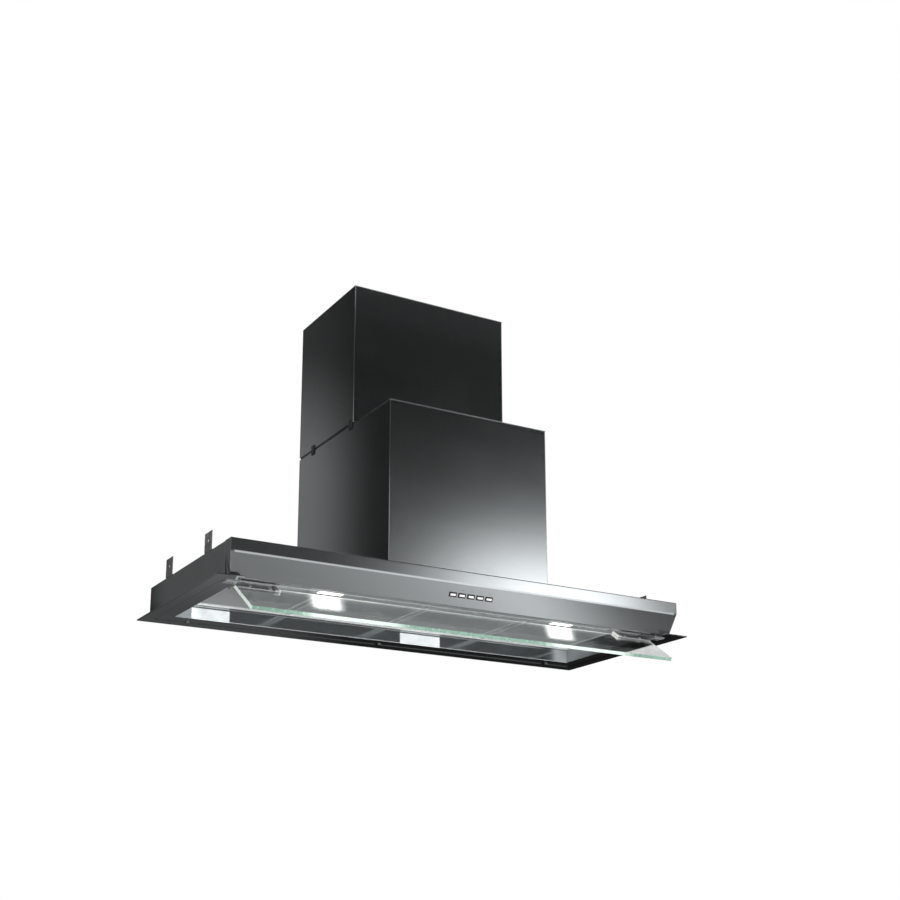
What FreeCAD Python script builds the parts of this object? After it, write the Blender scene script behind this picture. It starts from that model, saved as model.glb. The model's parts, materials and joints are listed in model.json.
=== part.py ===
import FreeCAD, Part
import math
import os
import re

import Sketcher

# Range hood, in millimetres.
# +X is to the right seen from the front, +Y goes to the back, +Z is up.
# The origin is the centre of the four fixing holes, on the back face of the mounting plate.

SIZES = {
    # Overall body
    "hood_width": 900.0,
    "hood_depth": 370.0,
    "canopy_height": 60.0,
    "fixing_height": 200.0,
    "side_lip": 22.0,
    "sheet": 1.0,
    "overrun": 5.0,
    "play": 0.3,
    # Rim under the body and the opening in it
    "rim_sheet": 1.2,
    "rim_side_width": 48.0,
    "rim_rear_width": 60.0,
    "rim_hem_drop": 0.8,
    "rim_hem_width": 22.0,
    # Front panel, a folded sheet with a vertical strip and a face that leans back
    "front_sheet": 1.2,
    "strip_height": 21.5,
    "face_recess_depth": 16.5,
    "front_return": 24.0,
    "cap_top_width": 6.0,
    "cap_foot_width": 13.0,
    "cap_foot_offset": 6.5,
    # Front rail that holds the lamps and the filter catches
    "rail_front": 64.0,
    "rail_step": 70.0,
    "rail_back": 84.0,
    "rail_height": 12.0,
    "rail_step_height": 18.0,
    "rail_back_height": 10.0,
    "catch_margin": 42.0,
    "outer_catch_margin": 64.0,
    "catch_slot_width": 11.0,
    "catch_slot_depth": 6.0,
    # Grease filters
    "filter_height": 26.0,
    "filter_thickness": 9.0,
    "filter_border": 6.0,
    "filter_gap": 1.0,
    "filter_side_gap": 2.0,
    "mesh_thickness": 3.0,
    "ledge_depth": 10.0,
    "ledge_thickness": 1.5,
    "latch_overhang": 12.0,
    "latch_depth": 10.0,
    "latch_thickness": 2.4,
    "latch_tongue_width": 8.0,
    "latch_tongue_reach": 3.0,
    "latch_offset": 3.0,
    "latch_grip_width": 30.0,
    "latch_grip_drop": 3.0,
    # Lamps
    "lamp_beside_joint": 26.0,
    "lamp_width": 46.0,
    "lamp_front": 65.5,
    "lamp_back": 82.5,
    "lamp_height": 18.0,
    "lamp_wall": 1.6,
    "lens_thickness": 2.0,
    "lens_drop": 0.6,
    # Glass panel and its hinge
    "glass_side_gap": 3.0,
    "glass_length": 87.5,
    "glass_thickness": 6.0,
    "glass_tilt": 34.2,
    "hinge_distance": 60.0,
    "hinge_height": 2.0,
    "glass_edge_offset": 5.0,
    "clamp_length": 64.0,
    "clamp_reach": 14.0,
    "clamp_sheet": 2.0,
    "barrel_radius": 4.6,
    "pin_radius": 2.4,
    "pin_clearance": 0.05,
    "pin_length": 36.0,
    "clamp_end_gap": 0.6,
    "bolt_radius": 2.0,
    "bolt_hole_radius": 2.5,
    "bolt_head_radius": 3.8,
    "bolt_head_height": 1.8,
    "bolt_edge_offset": 8.5,
    "bolt_end_offset": 22.6,
    "bolt_spacing": 34.0,
    "end_cap_length": 9.0,
    "end_cap_margin": 1.4,
    "hinge_plate": 1.8,
    "hinge_plate_front": 48.0,
    "hinge_plate_back": 74.0,
    "hinge_plate_top": 11.0,
    "hinge_foot_front": 29.5,
    "hinge_foot_width": 20.0,
    "hinge_foot_sheet": 1.4,
    # Push buttons
    "button_down_share": 0.5,
    "button_pitch": 17.4,
    "button_width": 11.4,
    "button_height": 5.0,
    "button_proud": 1.2,
    "button_stem": 8.6,
    "button_flange": 1.0,
    "button_flange_margin": 0.9,
    "slot_width": 14.8,
    "slot_height": 8.2,
    "bezel_wall": 1.2,
    "bezel_play": 0.25,
    "bezel_plate": 1.8,
    "bezel_margin": 6.0,
    "bezel_side_depth": 10.0,
    "switch_depth": 13.0,
    # Lower and upper duct covers
    "cover_width": 309.0,
    "cover_front": 8.0,
    "cover_back_gap": 0.4,
    "lower_cover_top": 340.0,
    "upper_cover_front": 147.0,
    "upper_cover_gap": 4.0,
    "upper_cover_top": 603.0,
    "lid_upstand_lap": 8.0,
    "clip_width": 12.0,
    "clip_height": 18.0,
    "clip_sheet": 1.6,
    "clip_screw_radius": 3.2,
    "clip_front_offset": 8.0,
    "clip_back_offset": 60.0,
    "top_bracket_depth": 42.0,
    "top_bracket_height": 14.0,
    "top_bracket_width": 10.0,
    # Mounting plate and side brackets
    "plate_thickness": 2.0,
    "plate_width": 300.0,
    "wall_hole_radius": 4.0,
    "wall_hole_spacing_across": 220.0,
    "wall_hole_spacing_up": 180.0,
    "bracket_width": 30.0,
    "bracket_height": 32.0,
    "bracket_foot": 26.0,
    "bracket_sheet": 1.5,
    "bracket_front": 100.0,
    "bracket_spacing": 180.0,
    "bracket_hole_radius": 2.75,
    "bracket_hole_height": 18.0,
    # Blower
    "air_hole_width": 250.0,
    "air_hole_front": 110.0,
    "air_hole_rear_margin": 10.0,
    "scroll_radius": 112.0,
    "scroll_half_width": 85.0,
    "scroll_wall": 2.5,
    "scroll_distance": 220.0,
    "scroll_height": 180.0,
    "duct_depth": 148.0,
    "inlet_radius": 68.0,
    "inlet_ring_radius": 88.0,
    "inlet_ring_thickness": 3.0,
    "impeller_radius": 78.0,
    "impeller_half_length": 62.0,
    "impeller_ring_depth": 9.0,
    "impeller_ring_thickness": 3.0,
    "impeller_disc_thickness": 3.0,
    "blade_thickness": 1.2,
    "hub_radius": 13.0,
    "hub_half_length": 14.0,
    "shaft_radius": 4.0,
    "shaft_clearance": 0.08,
    "shaft_depth_in_motor": 20.0,
    "motor_radius": 44.0,
    "motor_length": 54.0,
    "motor_boss_radius": 14.0,
    "motor_boss_length": 5.0,
    "motor_arm_width": 16.0,
    "motor_arm_thickness": 3.0,
    # Outlet collar and its two non-return flaps
    "collar_radius": 74.5,
    "collar_wall": 1.8,
    "collar_height": 43.0,
    "collar_flange": 10.0,
    "collar_flange_thickness": 2.0,
    "collar_ledge": 3.0,
    "flap_height": 11.0,
    "flap_thickness": 1.5,
    "flap_edge_gap": 1.0,
    "flap_root": 5.5,
    "flap_knuckle_radius": 4.4,
    "flap_knuckle_length": 18.0,
    "flap_pin_radius": 2.4,
    # Electrical pieces
    "control_box_width": 110.0,
    "control_box_depth": 44.0,
    "control_box_height": 62.0,
    "control_box_wall": 2.0,
    "control_box_left": 140.0,
    "control_box_front": 30.0,
    "capacitor_radius": 17.0,
    "capacitor_height": 62.0,
    "capacitor_side": 70.0,
    "capacitor_front": 55.0,
    "capacitor_collar": 2.0,
    "gland_side": 112.0,
    "gland_distance": 320.0,
    "gland_bore_radius": 4.0,
    "gland_radius": 8.0,
    "gland_nut_radius": 11.0,
    "gland_nut_height": 5.0,
    "gland_height": 14.0,
    # Screws
    "screw_radius": 1.8,
    "screw_head_radius": 3.6,
    "screw_head_height": 1.6,
    "screw_length": 7.0,
    "rear_screw_margin": 80.0,
    "rear_screw_distance": 337.0,
}

FILTER_COUNT = 4
BUTTON_COUNT = 5
BLADE_COUNT = 30
CATCHES_PER_FILTER = 2

# Places worked out from the sizes. Heights named _z are in the part's frame.
PLACES = {
    "front_y": "-hood_depth",
    "rim_z": "-fixing_height",
    "rail_top_z": "rim_z + rim_sheet",
    "rear_hem_width": "rim_hem_width*rim_rear_width/rim_side_width",
    "canopy_top_z": "rim_z + canopy_height",
    "body_half": "hood_width/2 - side_lip",
    "opening_half": "hood_width/2 - rim_side_width",
    "opening_back_y": "-rim_rear_width",
    "face_foot_z": "rail_top_z + play",
    "bend_z": "canopy_top_z - strip_height",
    "face_drop": "bend_z - face_foot_z",
    "face_foot_y": "front_y + face_recess_depth",
    "face_slope": "face_recess_depth / face_drop",
    "face_lean": "atan(face_slope)",
    "rail_z": "rim_z + rail_height",
    "rail_step_z": "rim_z + rail_step_height",
    "under_top_z": "canopy_top_z - sheet",
    "filter_z": "rim_z + filter_height",
    "filter_front_y": "front_y + rail_back + filter_gap",
    "filter_back_y": "opening_back_y - filter_gap",
    "filter_pitch": "(2*opening_half - 2*filter_side_gap) / filter_count",
    "filter_left": "-opening_half + filter_side_gap",
    "lamp_spread": "filter_pitch + lamp_beside_joint",
    "glass_half": "opening_half - glass_side_gap",
    "pivot_y": "front_y + hinge_distance",
    "pivot_z": "rim_z + hinge_height",
    "clamp_outer": "opening_half - hinge_plate - clamp_end_gap",
    "clamp_inner": "clamp_outer - clamp_length",
    "clamp_tip": "glass_edge_offset + clamp_reach",
    "button_y": "front_y + face_recess_depth*button_down_share",
    "button_z": "bend_z - face_drop*button_down_share",
    "face_thickness": "front_sheet*cos(face_lean)",
    "cover_half": "cover_width/2",
    "cover_front_y": "front_y + cover_front",
    "lower_top_z": "rim_z + lower_cover_top",
    "lid_z": "lower_top_z - sheet",
    "upper_front_y": "front_y + upper_cover_front",
    "upper_foot_z": "lower_top_z + upper_cover_gap",
    "upper_top_z": "rim_z + upper_cover_top",
    "scroll_y": "front_y + scroll_distance",
    "scroll_z": "rim_z + scroll_height",
    "duct_back_y": "scroll_y + scroll_radius",
    "duct_front_y": "duct_back_y - duct_depth",
    "duct_y": "duct_back_y - duct_depth/2",
    "collar_foot_z": "lower_top_z + collar_flange_thickness",
    "flap_z": "lower_top_z + flap_height",
    "motor_face": "-scroll_half_width - inlet_ring_thickness - motor_arm_thickness",
}

doc = FreeCAD.newDocument("range_hood")
sheet = doc.addObject("Spreadsheet::Sheet", "Sizes")
nodes = {}


def fill_sheet():
    values = dict(SIZES)
    values["filter_count"] = float(FILTER_COUNT)
    for row, (name, value) in enumerate(values.items(), start=1):
        sheet.set("A%d" % row, name)
        sheet.set("B%d" % row, str(value))
        sheet.setAlias("B%d" % row, name)
    doc.recompute()


def in_sheet(text):
    """Write the plain names of an expression as cells of the sheet."""
    def swap(match):
        word = match.group(0)
        if word in PLACES:
            return "(" + in_sheet(PLACES[word]) + ")"
        if word in SIZES or word == "filter_count":
            return "Sizes." + word
        return word
    return re.sub(r"[a-z][a-z_0-9]*", swap, text)


def bind(piece, prop, text):
    piece.setExpression(prop, in_sheet(text))


def place(piece, x="0", y="0", z="0", axis=None, angle=None):
    """Bind where a piece stands and, with an axis, how far it is turned."""
    if axis is not None:
        turned = FreeCAD.Rotation(FreeCAD.Vector(*axis), 1)
        piece.Placement = FreeCAD.Placement(FreeCAD.Vector(), turned)
        bind(piece, "Placement.Rotation.Angle", angle)
    for letter, text in (("x", x), ("y", y), ("z", z)):
        bind(piece, "Placement.Base." + letter, text)
    return piece


def box(name, x, y, z):
    """A box between low and high expressions along each axis."""
    piece = doc.addObject("Part::Box", name)
    for prop, (low, high) in (("Length", x), ("Width", y), ("Height", z)):
        bind(piece, prop, "(%s) - (%s)" % (high, low))
    return place(piece, x[0], y[0], z[0])


def mirrored(span):
    """The same span of X on the left side."""
    return ("-(%s)" % span[1], "-(%s)" % span[0])


AXES = {"x": ((0, 1, 0), "90"), "y": ((1, 0, 0), "-90"), "z": (None, None)}


def cylinder(name, radius, along, span, first="0", second="0"):
    """A cylinder along an axis. first and second are its place on the other two axes."""
    piece = doc.addObject("Part::Cylinder", name)
    bind(piece, "Radius", radius)
    bind(piece, "Height", "(%s) - (%s)" % (span[1], span[0]))
    axis, angle = AXES[along]
    at = {"x": (span[0], first, second), "y": (first, span[0], second), "z": (first, second, span[0])}
    return place(piece, *at[along], axis=axis, angle=angle)


def ring(name, outer, inner, along, span, first="0", second="0"):
    whole = cylinder(name + "_outer", outer, along, span, first, second)
    reach = ("(%s) - overrun" % span[0], "(%s) + overrun" % span[1])
    hole = cylinder(name + "_inner", inner, along, reach, first, second)
    return cut(name, whole, hole)


def cut(name, whole, *tools):
    piece = doc.addObject("Part::Cut", name)
    piece.Base = whole
    piece.Tool = tools[0] if len(tools) == 1 else fuse(name + "_tools", *tools)
    return piece


def fuse(name, *parts):
    piece = doc.addObject("Part::MultiFuse", name)
    piece.Shapes = list(parts)
    return piece


def common(name, first, second):
    piece = doc.addObject("Part::Common", name)
    piece.Base = first
    piece.Tool = second
    return piece


def group(name, *parts):
    piece = doc.addObject("Part::Compound", name)
    piece.Links = list(parts)
    return piece


def profile(name, plane_role, points, low, high):
    """A body padded between low and high from a closed outline of straight lines."""
    body = doc.addObject("PartDesign::Body", name)
    sketch = body.newObject("Sketcher::SketchObject", name + "_outline")
    plane = [item for item in body.Origin.OriginFeatures if item.Role == plane_role][0]
    sketch.AttachmentSupport = (plane, [""])
    sketch.MapMode = "FlatFace"
    bind(sketch, "AttachmentOffset.Base.z", low)
    count = len(points)
    start = [FreeCAD.Vector(math.cos(turn), math.sin(turn), 0)
             for turn in (2 * math.pi * index / count for index in range(count))]
    for index in range(count):
        sketch.addGeometry(Part.LineSegment(start[index], start[(index + 1) % count]), False)
    for index in range(count):
        sketch.addConstraint(Sketcher.Constraint("Coincident", index, 2, (index + 1) % count, 1))
    for index, point in enumerate(points):
        for kind, text, value in (("DistanceX", point[0], start[index].x),
                                  ("DistanceY", point[1], start[index].y)):
            number = sketch.addConstraint(Sketcher.Constraint(kind, -1, 1, index, 1, value))
            bind(sketch, "Constraints[%d]" % number, text)
    pad = body.newObject("PartDesign::Pad", name + "_pad")
    pad.Profile = sketch
    bind(pad, "Length", "(%s) - (%s)" % (high, low))
    body.Tip = pad
    return body


def node(piece, name):
    """Give a finished piece its label, which is its file's name."""
    piece.Label = name
    nodes[name] = piece
    return piece


def both_sides(name, make):
    """One piece for the left side and one for the right, as a group."""
    return group(name, make(name + "_left", mirrored), make(name + "_right", lambda span: span))


# Canopy: a sheet tray, open below and in front, with the air hole in its top
def make_canopy():
    whole = box("canopy_block", ("-body_half", "body_half"),
                ("front_y + front_return", "0"), ("rail_top_z", "canopy_top_z"))
    inside = box("canopy_inside", ("-body_half + sheet", "body_half - sheet"),
                 ("front_y - overrun", "-sheet"), ("rail_top_z - overrun", "under_top_z"))
    air_hole = box("air_hole", ("-air_hole_width/2", "air_hole_width/2"),
                   ("front_y + air_hole_front", "opening_back_y - air_hole_rear_margin"),
                   ("under_top_z - overrun", "canopy_top_z + overrun"))
    node(cut("canopy", whole, inside, air_hole), "canopy_shell")


# Front panel: top fold, vertical strip, bend, leaning face and bottom fold in one sheet
def make_front_panel():
    outline = [
        ("front_y + front_return", "canopy_top_z"),
        ("front_y", "canopy_top_z"),
        ("front_y", "bend_z"),
        ("face_foot_y", "face_foot_z"),
        ("face_foot_y + front_return/2", "face_foot_z"),
        ("face_foot_y + front_return/2", "face_foot_z + front_sheet"),
        ("face_foot_y + front_sheet - front_sheet*face_slope", "face_foot_z + front_sheet"),
        ("front_y + front_sheet", "bend_z"),
        ("front_y + front_sheet", "canopy_top_z - front_sheet"),
        ("front_y + front_return", "canopy_top_z - front_sheet"),
    ]
    folded = profile("front_fold", "YZ_Plane", outline, "-body_half", "body_half")
    cutters = [end_trim("front_trim_left", "-1"), end_trim("front_trim_right", "1")]
    for index in range(BUTTON_COUNT):
        cutters.append(button_slot(index))
    node(cut("front_cut", folded, *cutters), "front_panel")


def end_trim(name, side):
    """The slanted end that is cut off the leaning face, seen from the front."""
    outline = [
        (side + "*(body_half - cap_top_width)", "bend_z"),
        (side + "*(body_half + overrun)", "bend_z"),
        (side + "*(body_half + overrun)", "face_foot_z - overrun"),
        (side + "*(body_half - cap_foot_offset - cap_foot_width)", "face_foot_z - overrun"),
        (side + "*(body_half - cap_foot_offset - cap_foot_width)", "face_foot_z"),
    ]
    return profile(name, "XZ_Plane", outline, "-face_foot_y - front_return", "-front_y + overrun")


def button_middle(index):
    return "(%d - %d/2)*button_pitch" % (index, BUTTON_COUNT - 1)


def button_slot(index):
    middle = button_middle(index)
    slot = box("button_slot_%d" % (index + 1),
               (middle + " - slot_width/2", middle + " + slot_width/2"),
               ("-overrun", "overrun"), ("-slot_height/2", "slot_height/2"))
    return on_face(group("button_slot_on_face_%d" % (index + 1), slot))


def on_face(piece):
    """Turn a piece made upright at the origin onto the leaning face, at the buttons."""
    return place(piece, "0", "button_y", "button_z", axis=(1, 0, 0), angle="face_lean")


# End caps: the bevelled cheeks that close the leaning face at both ends
def make_front_end_caps():
    caps = []
    for name, side in (("left", "-1"), ("right", "1")):
        seen_from_front = profile("cap_front_" + name, "XZ_Plane", [
            (side + "*(body_half - cap_top_width)", "bend_z"),
            (side + "*body_half", "bend_z"),
            (side + "*(body_half - cap_foot_offset)", "face_foot_z"),
            (side + "*(body_half - cap_foot_offset - cap_foot_width)", "face_foot_z"),
        ], "-front_y - front_return", "-front_y")
        seen_from_side = profile("cap_side_" + name, "YZ_Plane", [
            ("front_y + front_sheet/2", "bend_z"),
            ("face_foot_y + front_sheet/2", "face_foot_z"),
            ("front_y + front_return - play", "face_foot_z"),
            ("front_y + front_return - play", "bend_z"),
        ], "-hood_width/2", "hood_width/2")
        slanted = common("cap_slanted_" + name, seen_from_front, seen_from_side)
        sheet_x = tuple(side + "*" + place for place in ("(body_half - sheet)", "body_half"))
        strip_end = box("cap_strip_" + name, sheet_x if side == "1" else sheet_x[::-1],
                        ("front_y + front_sheet", "front_y + front_return - play"),
                        ("bend_z", "canopy_top_z - front_sheet"))
        behind = profile("cap_web_" + name, "XZ_Plane", [
            (side + "*(body_half - sheet)", "bend_z"),
            (side + "*body_half", "bend_z"),
            (side + "*body_half", "face_foot_z"),
            (side + "*(body_half - cap_foot_offset - sheet)", "face_foot_z"),
        ], "-front_y - front_return + play", "-front_y - front_return + play + sheet")
        caps.append(fuse("cap_" + name, slanted, strip_end, behind))
    node(group("caps", *caps), "front_end_caps")


# Rim rails: flat flanges at both sides and along the back, mitred, with a hem along their outer edge
def make_rim_rails():
    side_hem = "(hood_width/2 - rim_hem_width)"
    for name, side in (("rim_rail_left", "-1"), ("rim_rail_right", "1")):
        outer, inner = side + "*hood_width/2", side + "*opening_half"
        flat = profile(name + "_flat", "XY_Plane", [
            (inner, "front_y"), (outer, "front_y"), (outer, "0"), (inner, "opening_back_y"),
        ], "rim_z", "rail_top_z")
        hem = profile(name + "_hem", "XY_Plane", [
            (side + "*" + side_hem, "front_y"), (outer, "front_y"), (outer, "0"),
            (side + "*" + side_hem, "-rear_hem_width"),
        ], "rim_z - rim_hem_drop", "rim_z")
        node(fuse(name + "_whole", flat, hem), name)
    flat = profile("rim_rear_flat", "XY_Plane", [
        ("-opening_half", "opening_back_y"), ("opening_half", "opening_back_y"),
        ("hood_width/2", "0"), ("-hood_width/2", "0"),
    ], "rim_z", "rail_top_z")
    hem = profile("rim_rear_hem", "XY_Plane", [
        ("-" + side_hem, "-rear_hem_width"), (side_hem, "-rear_hem_width"),
        ("hood_width/2", "0"), ("-hood_width/2", "0"),
    ], "rim_z - rim_hem_drop", "rim_z")
    holes = [rear_screw_cylinder("rear_screw_hole", index, "screw_radius + play",
                                 ("rim_z - overrun", "rail_top_z + overrun")) for index in (-1, 0, 1)]
    node(cut("rim_rear", fuse("rim_rear_whole", flat, hem), *holes), "rim_rail_rear")


def rear_screw_cylinder(name, index, radius, span):
    return cylinder("%s_%d" % (name, index + 1), radius, "z", span,
                    "%d*(hood_width/2 - rear_screw_margin)" % index, "front_y + rear_screw_distance")


# Inner walls of the recess that the filters close
def make_inner_walls():
    height = ("rail_top_z", "under_top_z")
    for name, turn in (("inner_wall_left", mirrored), ("inner_wall_right", lambda span: span)):
        wall = box(name + "_sheet", turn(("opening_half", "opening_half + sheet")),
                   ("face_foot_y + front_return/2 + play", "opening_back_y + sheet"), height)
        node(wall, name)
    rear = box("inner_wall_rear_sheet", ("-opening_half", "opening_half"),
               ("opening_back_y", "opening_back_y + sheet"), height)
    node(rear, "inner_wall_rear")


# Front rail: a folded sheet with a step, two lamp windows and the slots for the catches
def make_lamp_rail():
    outline = [
        ("front_y + rail_front", "under_top_z"),
        ("front_y + rail_front", "rail_step_z"),
        ("front_y + rail_step", "rail_step_z"),
        ("front_y + rail_step", "rail_z"),
        ("front_y + rail_back", "rail_z"),
        ("front_y + rail_back", "rail_z + rail_back_height"),
        ("front_y + rail_back - sheet", "rail_z + rail_back_height"),
        ("front_y + rail_back - sheet", "rail_z + sheet"),
        ("front_y + rail_step + sheet", "rail_z + sheet"),
        ("front_y + rail_step + sheet", "rail_step_z + sheet"),
        ("front_y + rail_front + sheet", "rail_step_z + sheet"),
        ("front_y + rail_front + sheet", "under_top_z"),
    ]
    folded = profile("rail_fold", "YZ_Plane", outline, "-opening_half", "opening_half")
    cutters = []
    for name, side in (("left", "-1"), ("right", "1")):
        cutters.append(box("lamp_window_" + name,
                           (side + "*lamp_spread - lamp_width/2",
                            side + "*lamp_spread + lamp_width/2"),
                           ("front_y + lamp_front", "front_y + lamp_back"),
                           ("rail_z - overrun", "rail_step_z + overrun")))
    for index in range(FILTER_COUNT):
        for catch, middle in enumerate(catch_places(index)):
            cutters.append(box("catch_slot_%d_%d" % (index + 1, catch + 1),
                               (middle + " - catch_slot_width/2", middle + " + catch_slot_width/2"),
                               ("front_y + rail_back - catch_slot_depth",
                                "front_y + rail_back + overrun"),
                               ("rail_z - overrun", "rail_z + rail_back_height + overrun")))
    node(cut("rail", folded, *cutters), "lamp_rail")


def catch_places(index):
    """The catches of one filter. The outer filters have theirs closer, clear of the lamps."""
    outer = index in (0, FILTER_COUNT - 1)
    margin = "outer_catch_margin" if outer else "catch_margin"
    step = "(filter_pitch - 2*%s)/%d" % (margin, CATCHES_PER_FILTER - 1)
    return ["filter_left + %d*filter_pitch + %s + %d*%s" % (index, margin, catch, step)
            for catch in range(CATCHES_PER_FILTER)]


def filter_low(index):
    return "filter_left + %d*filter_pitch + filter_gap/2" % index


def filter_high(index):
    return "filter_left + %d*filter_pitch - filter_gap/2" % (index + 1)


def filter_middle(index):
    return "filter_left + (%d + 1/2)*filter_pitch" % index


# Ledge on the rear wall that the filters' back edges stand on
def make_rear_ledge():
    top = "filter_z - play"
    shelf = box("ledge_shelf", ("-opening_half", "opening_half"),
                ("opening_back_y - ledge_depth", "opening_back_y"),
                ("filter_z - play - ledge_thickness", top))
    node(shelf, "rear_filter_ledge")


# One grease filter: a frame, the mesh pack in it and the sliding latch under its front edge
def make_filter(index):
    number = index + 1
    x = (filter_low(index), filter_high(index))
    y = ("filter_front_y", "filter_back_y")
    z = ("filter_z", "filter_z + filter_thickness")
    block = box("filter_block_%d" % number, x, y, z)
    inner_x = (x[0] + " + filter_border", x[1] + " - filter_border")
    inner_y = (y[0] + " + filter_border", y[1] + " - filter_border")
    window = box("filter_window_%d" % number, inner_x, inner_y,
                 (z[0] + " - overrun", z[1] + " + overrun"))
    node(cut("filter_edge_%d" % number, block, window), "filter_frame_%d" % number)
    mesh_foot = "filter_z + (filter_thickness - mesh_thickness)/2"
    mesh = box("filter_pack_%d" % number, inner_x, inner_y, (mesh_foot, mesh_foot + " + mesh_thickness"))
    node(mesh, "filter_mesh_%d" % number)
    make_filter_latch(index)


def make_filter_latch(index):
    number = index + 1
    middle = filter_middle(index)
    top = "filter_z - play"
    foot = "filter_z - play - latch_thickness"
    front = "filter_front_y + latch_offset"
    places = catch_places(index)
    parts = [box("latch_bar_%d" % number,
                 (places[0] + " - latch_overhang", places[-1] + " + latch_overhang"),
                 (front, front + " + latch_depth"), (foot, top))]
    for catch, there in enumerate(places):
        parts.append(box("latch_tongue_%d_%d" % (number, catch + 1),
                         (there + " - latch_tongue_width/2", there + " + latch_tongue_width/2"),
                         ("filter_front_y - filter_gap - latch_tongue_reach", front), (foot, top)))
    parts.append(box("latch_grip_%d" % number,
                     (middle + " - latch_grip_width/2", middle + " + latch_grip_width/2"),
                     (front + " + latch_depth - latch_thickness", front + " + latch_depth"),
                     (foot + " - latch_grip_drop", foot)))
    node(fuse("latch_%d" % number, *parts), "filter_latch_%d" % number)


# Lamps: a box behind the rail and a frosted lens in its window
def make_lamps():
    housings = []
    lenses = []
    for name, side in (("left", "-1"), ("right", "1")):
        x = (side + "*lamp_spread - lamp_width/2", side + "*lamp_spread + lamp_width/2")
        y = ("front_y + lamp_front", "front_y + lamp_back")
        foot = "rail_z - lens_drop"
        top = "rail_z + lamp_height"
        shell = box("lamp_block_" + name, x, y, (foot, top))
        hollow = box("lamp_hollow_" + name,
                     (x[0] + " + lamp_wall", x[1] + " - lamp_wall"),
                     (y[0] + " + lamp_wall", y[1] + " - lamp_wall"),
                     (foot + " - overrun", top + " - lamp_wall"))
        housings.append(cut("lamp_shell_" + name, shell, hollow))
        lenses.append(box("lamp_lens_" + name,
                          (x[0] + " + lamp_wall", x[1] + " - lamp_wall"),
                          (y[0] + " + lamp_wall", y[1] + " - lamp_wall"),
                          (foot, foot + " + lens_thickness")))
    node(group("lamp_shells", *housings), "lamp_housings")
    node(group("lamp_lens_pair", *lenses), "lamp_lenses")


# Glass panel: made flat along -Y from the hinge line, then tilted down
def tilted(piece):
    return place(piece, "0", "pivot_y", "pivot_z", axis=(1, 0, 0), angle="glass_tilt")


def bolt_places():
    """Distance of each clamp bolt from the middle, on the right side."""
    return ["clamp_outer - bolt_end_offset", "clamp_outer - bolt_end_offset - bolt_spacing"]


def each_bolt():
    for number, far in enumerate(bolt_places(), start=1):
        for name, side in (("left", "-1"), ("right", "1")):
            yield "%s_%d" % (name, number), "%s*(%s)" % (side, far)


BOLT_ROW = "-glass_edge_offset - bolt_edge_offset"


def make_glass():
    pane = box("pane", ("-glass_half", "glass_half"),
               ("-glass_edge_offset - glass_length", "-glass_edge_offset"),
               ("-glass_thickness/2", "glass_thickness/2"))
    holes = [cylinder("glass_hole_" + name, "bolt_hole_radius", "z",
                      ("-glass_thickness", "glass_thickness"), x, BOLT_ROW)
             for name, x in each_bolt()]
    node(tilted(cut("glass", pane, *holes)), "glass_panel")


def make_clamps():
    outside = "glass_thickness/2 + clamp_sheet"

    def clamp(name, turn):
        span = turn(("clamp_inner", "clamp_outer"))
        block = box(name + "_block", span, ("-clamp_tip", "0"), ("-(%s)" % outside, outside))
        slot = box(name + "_slot", turn(("clamp_inner - overrun", "clamp_outer + overrun")),
                   ("-clamp_tip - overrun", "-glass_edge_offset"),
                   ("-glass_thickness/2", "glass_thickness/2"))
        barrel = cylinder(name + "_barrel", "barrel_radius", "x", span)
        bore = cylinder(name + "_bore", "pin_radius + pin_clearance", "x",
                        turn(("clamp_inner - overrun", "clamp_outer + overrun")))
        folded = cut(name + "_channel", fuse(name + "_whole", block, barrel), slot)
        return cut(name, folded, bore)

    pair = both_sides("clamp", clamp)
    holes = [cylinder("clamp_hole_" + name, "bolt_hole_radius", "z",
                      ("-clamp_tip", "clamp_tip"), x, BOLT_ROW) for name, x in each_bolt()]
    node(tilted(cut("clamps", pair, *holes)), "glass_clamps")


def make_clamp_bolts():
    outside = "glass_thickness/2 + clamp_sheet"
    bolts = []
    for name, x in each_bolt():
        stem = cylinder("bolt_stem_" + name, "bolt_radius", "z",
                        ("-(%s) - bolt_head_height" % outside, outside + " + bolt_head_height"),
                        x, BOLT_ROW)
        head = cylinder("bolt_head_" + name, "bolt_head_radius", "z",
                        (outside, outside + " + bolt_head_height"), x, BOLT_ROW)
        nut = cylinder("bolt_nut_" + name, "bolt_head_radius", "z",
                       ("-(%s) - bolt_head_height" % outside, "-(%s)" % outside), x, BOLT_ROW)
        bolts.append(fuse("bolt_" + name, stem, head, nut))
    node(tilted(group("bolts", *bolts)), "glass_clamp_bolts")


def make_clamp_end_caps():
    reach = "glass_thickness/2 + clamp_sheet + end_cap_margin"

    def cap(name, turn):
        span = turn(("clamp_inner - end_cap_length", "clamp_inner"))
        block = box(name + "_block", span, ("-clamp_tip", "end_cap_margin"), ("-(%s)" % reach, reach))
        slot = box(name + "_slot", turn(("clamp_inner - end_cap_length - overrun", "clamp_inner + overrun")),
                   ("-clamp_tip - overrun", "-glass_edge_offset"),
                   ("-glass_thickness/2", "glass_thickness/2"))
        return cut(name, block, slot)

    node(tilted(both_sides("end_cap", cap)), "clamp_end_caps")


def make_hinge_pins():
    def pin(name, turn):
        return cylinder(name, "pin_radius", "x",
                        turn(("opening_half - pin_length", "opening_half - hinge_plate")),
                        "pivot_y", "pivot_z")

    node(both_sides("hinge_pin", pin), "hinge_pins")


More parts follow.
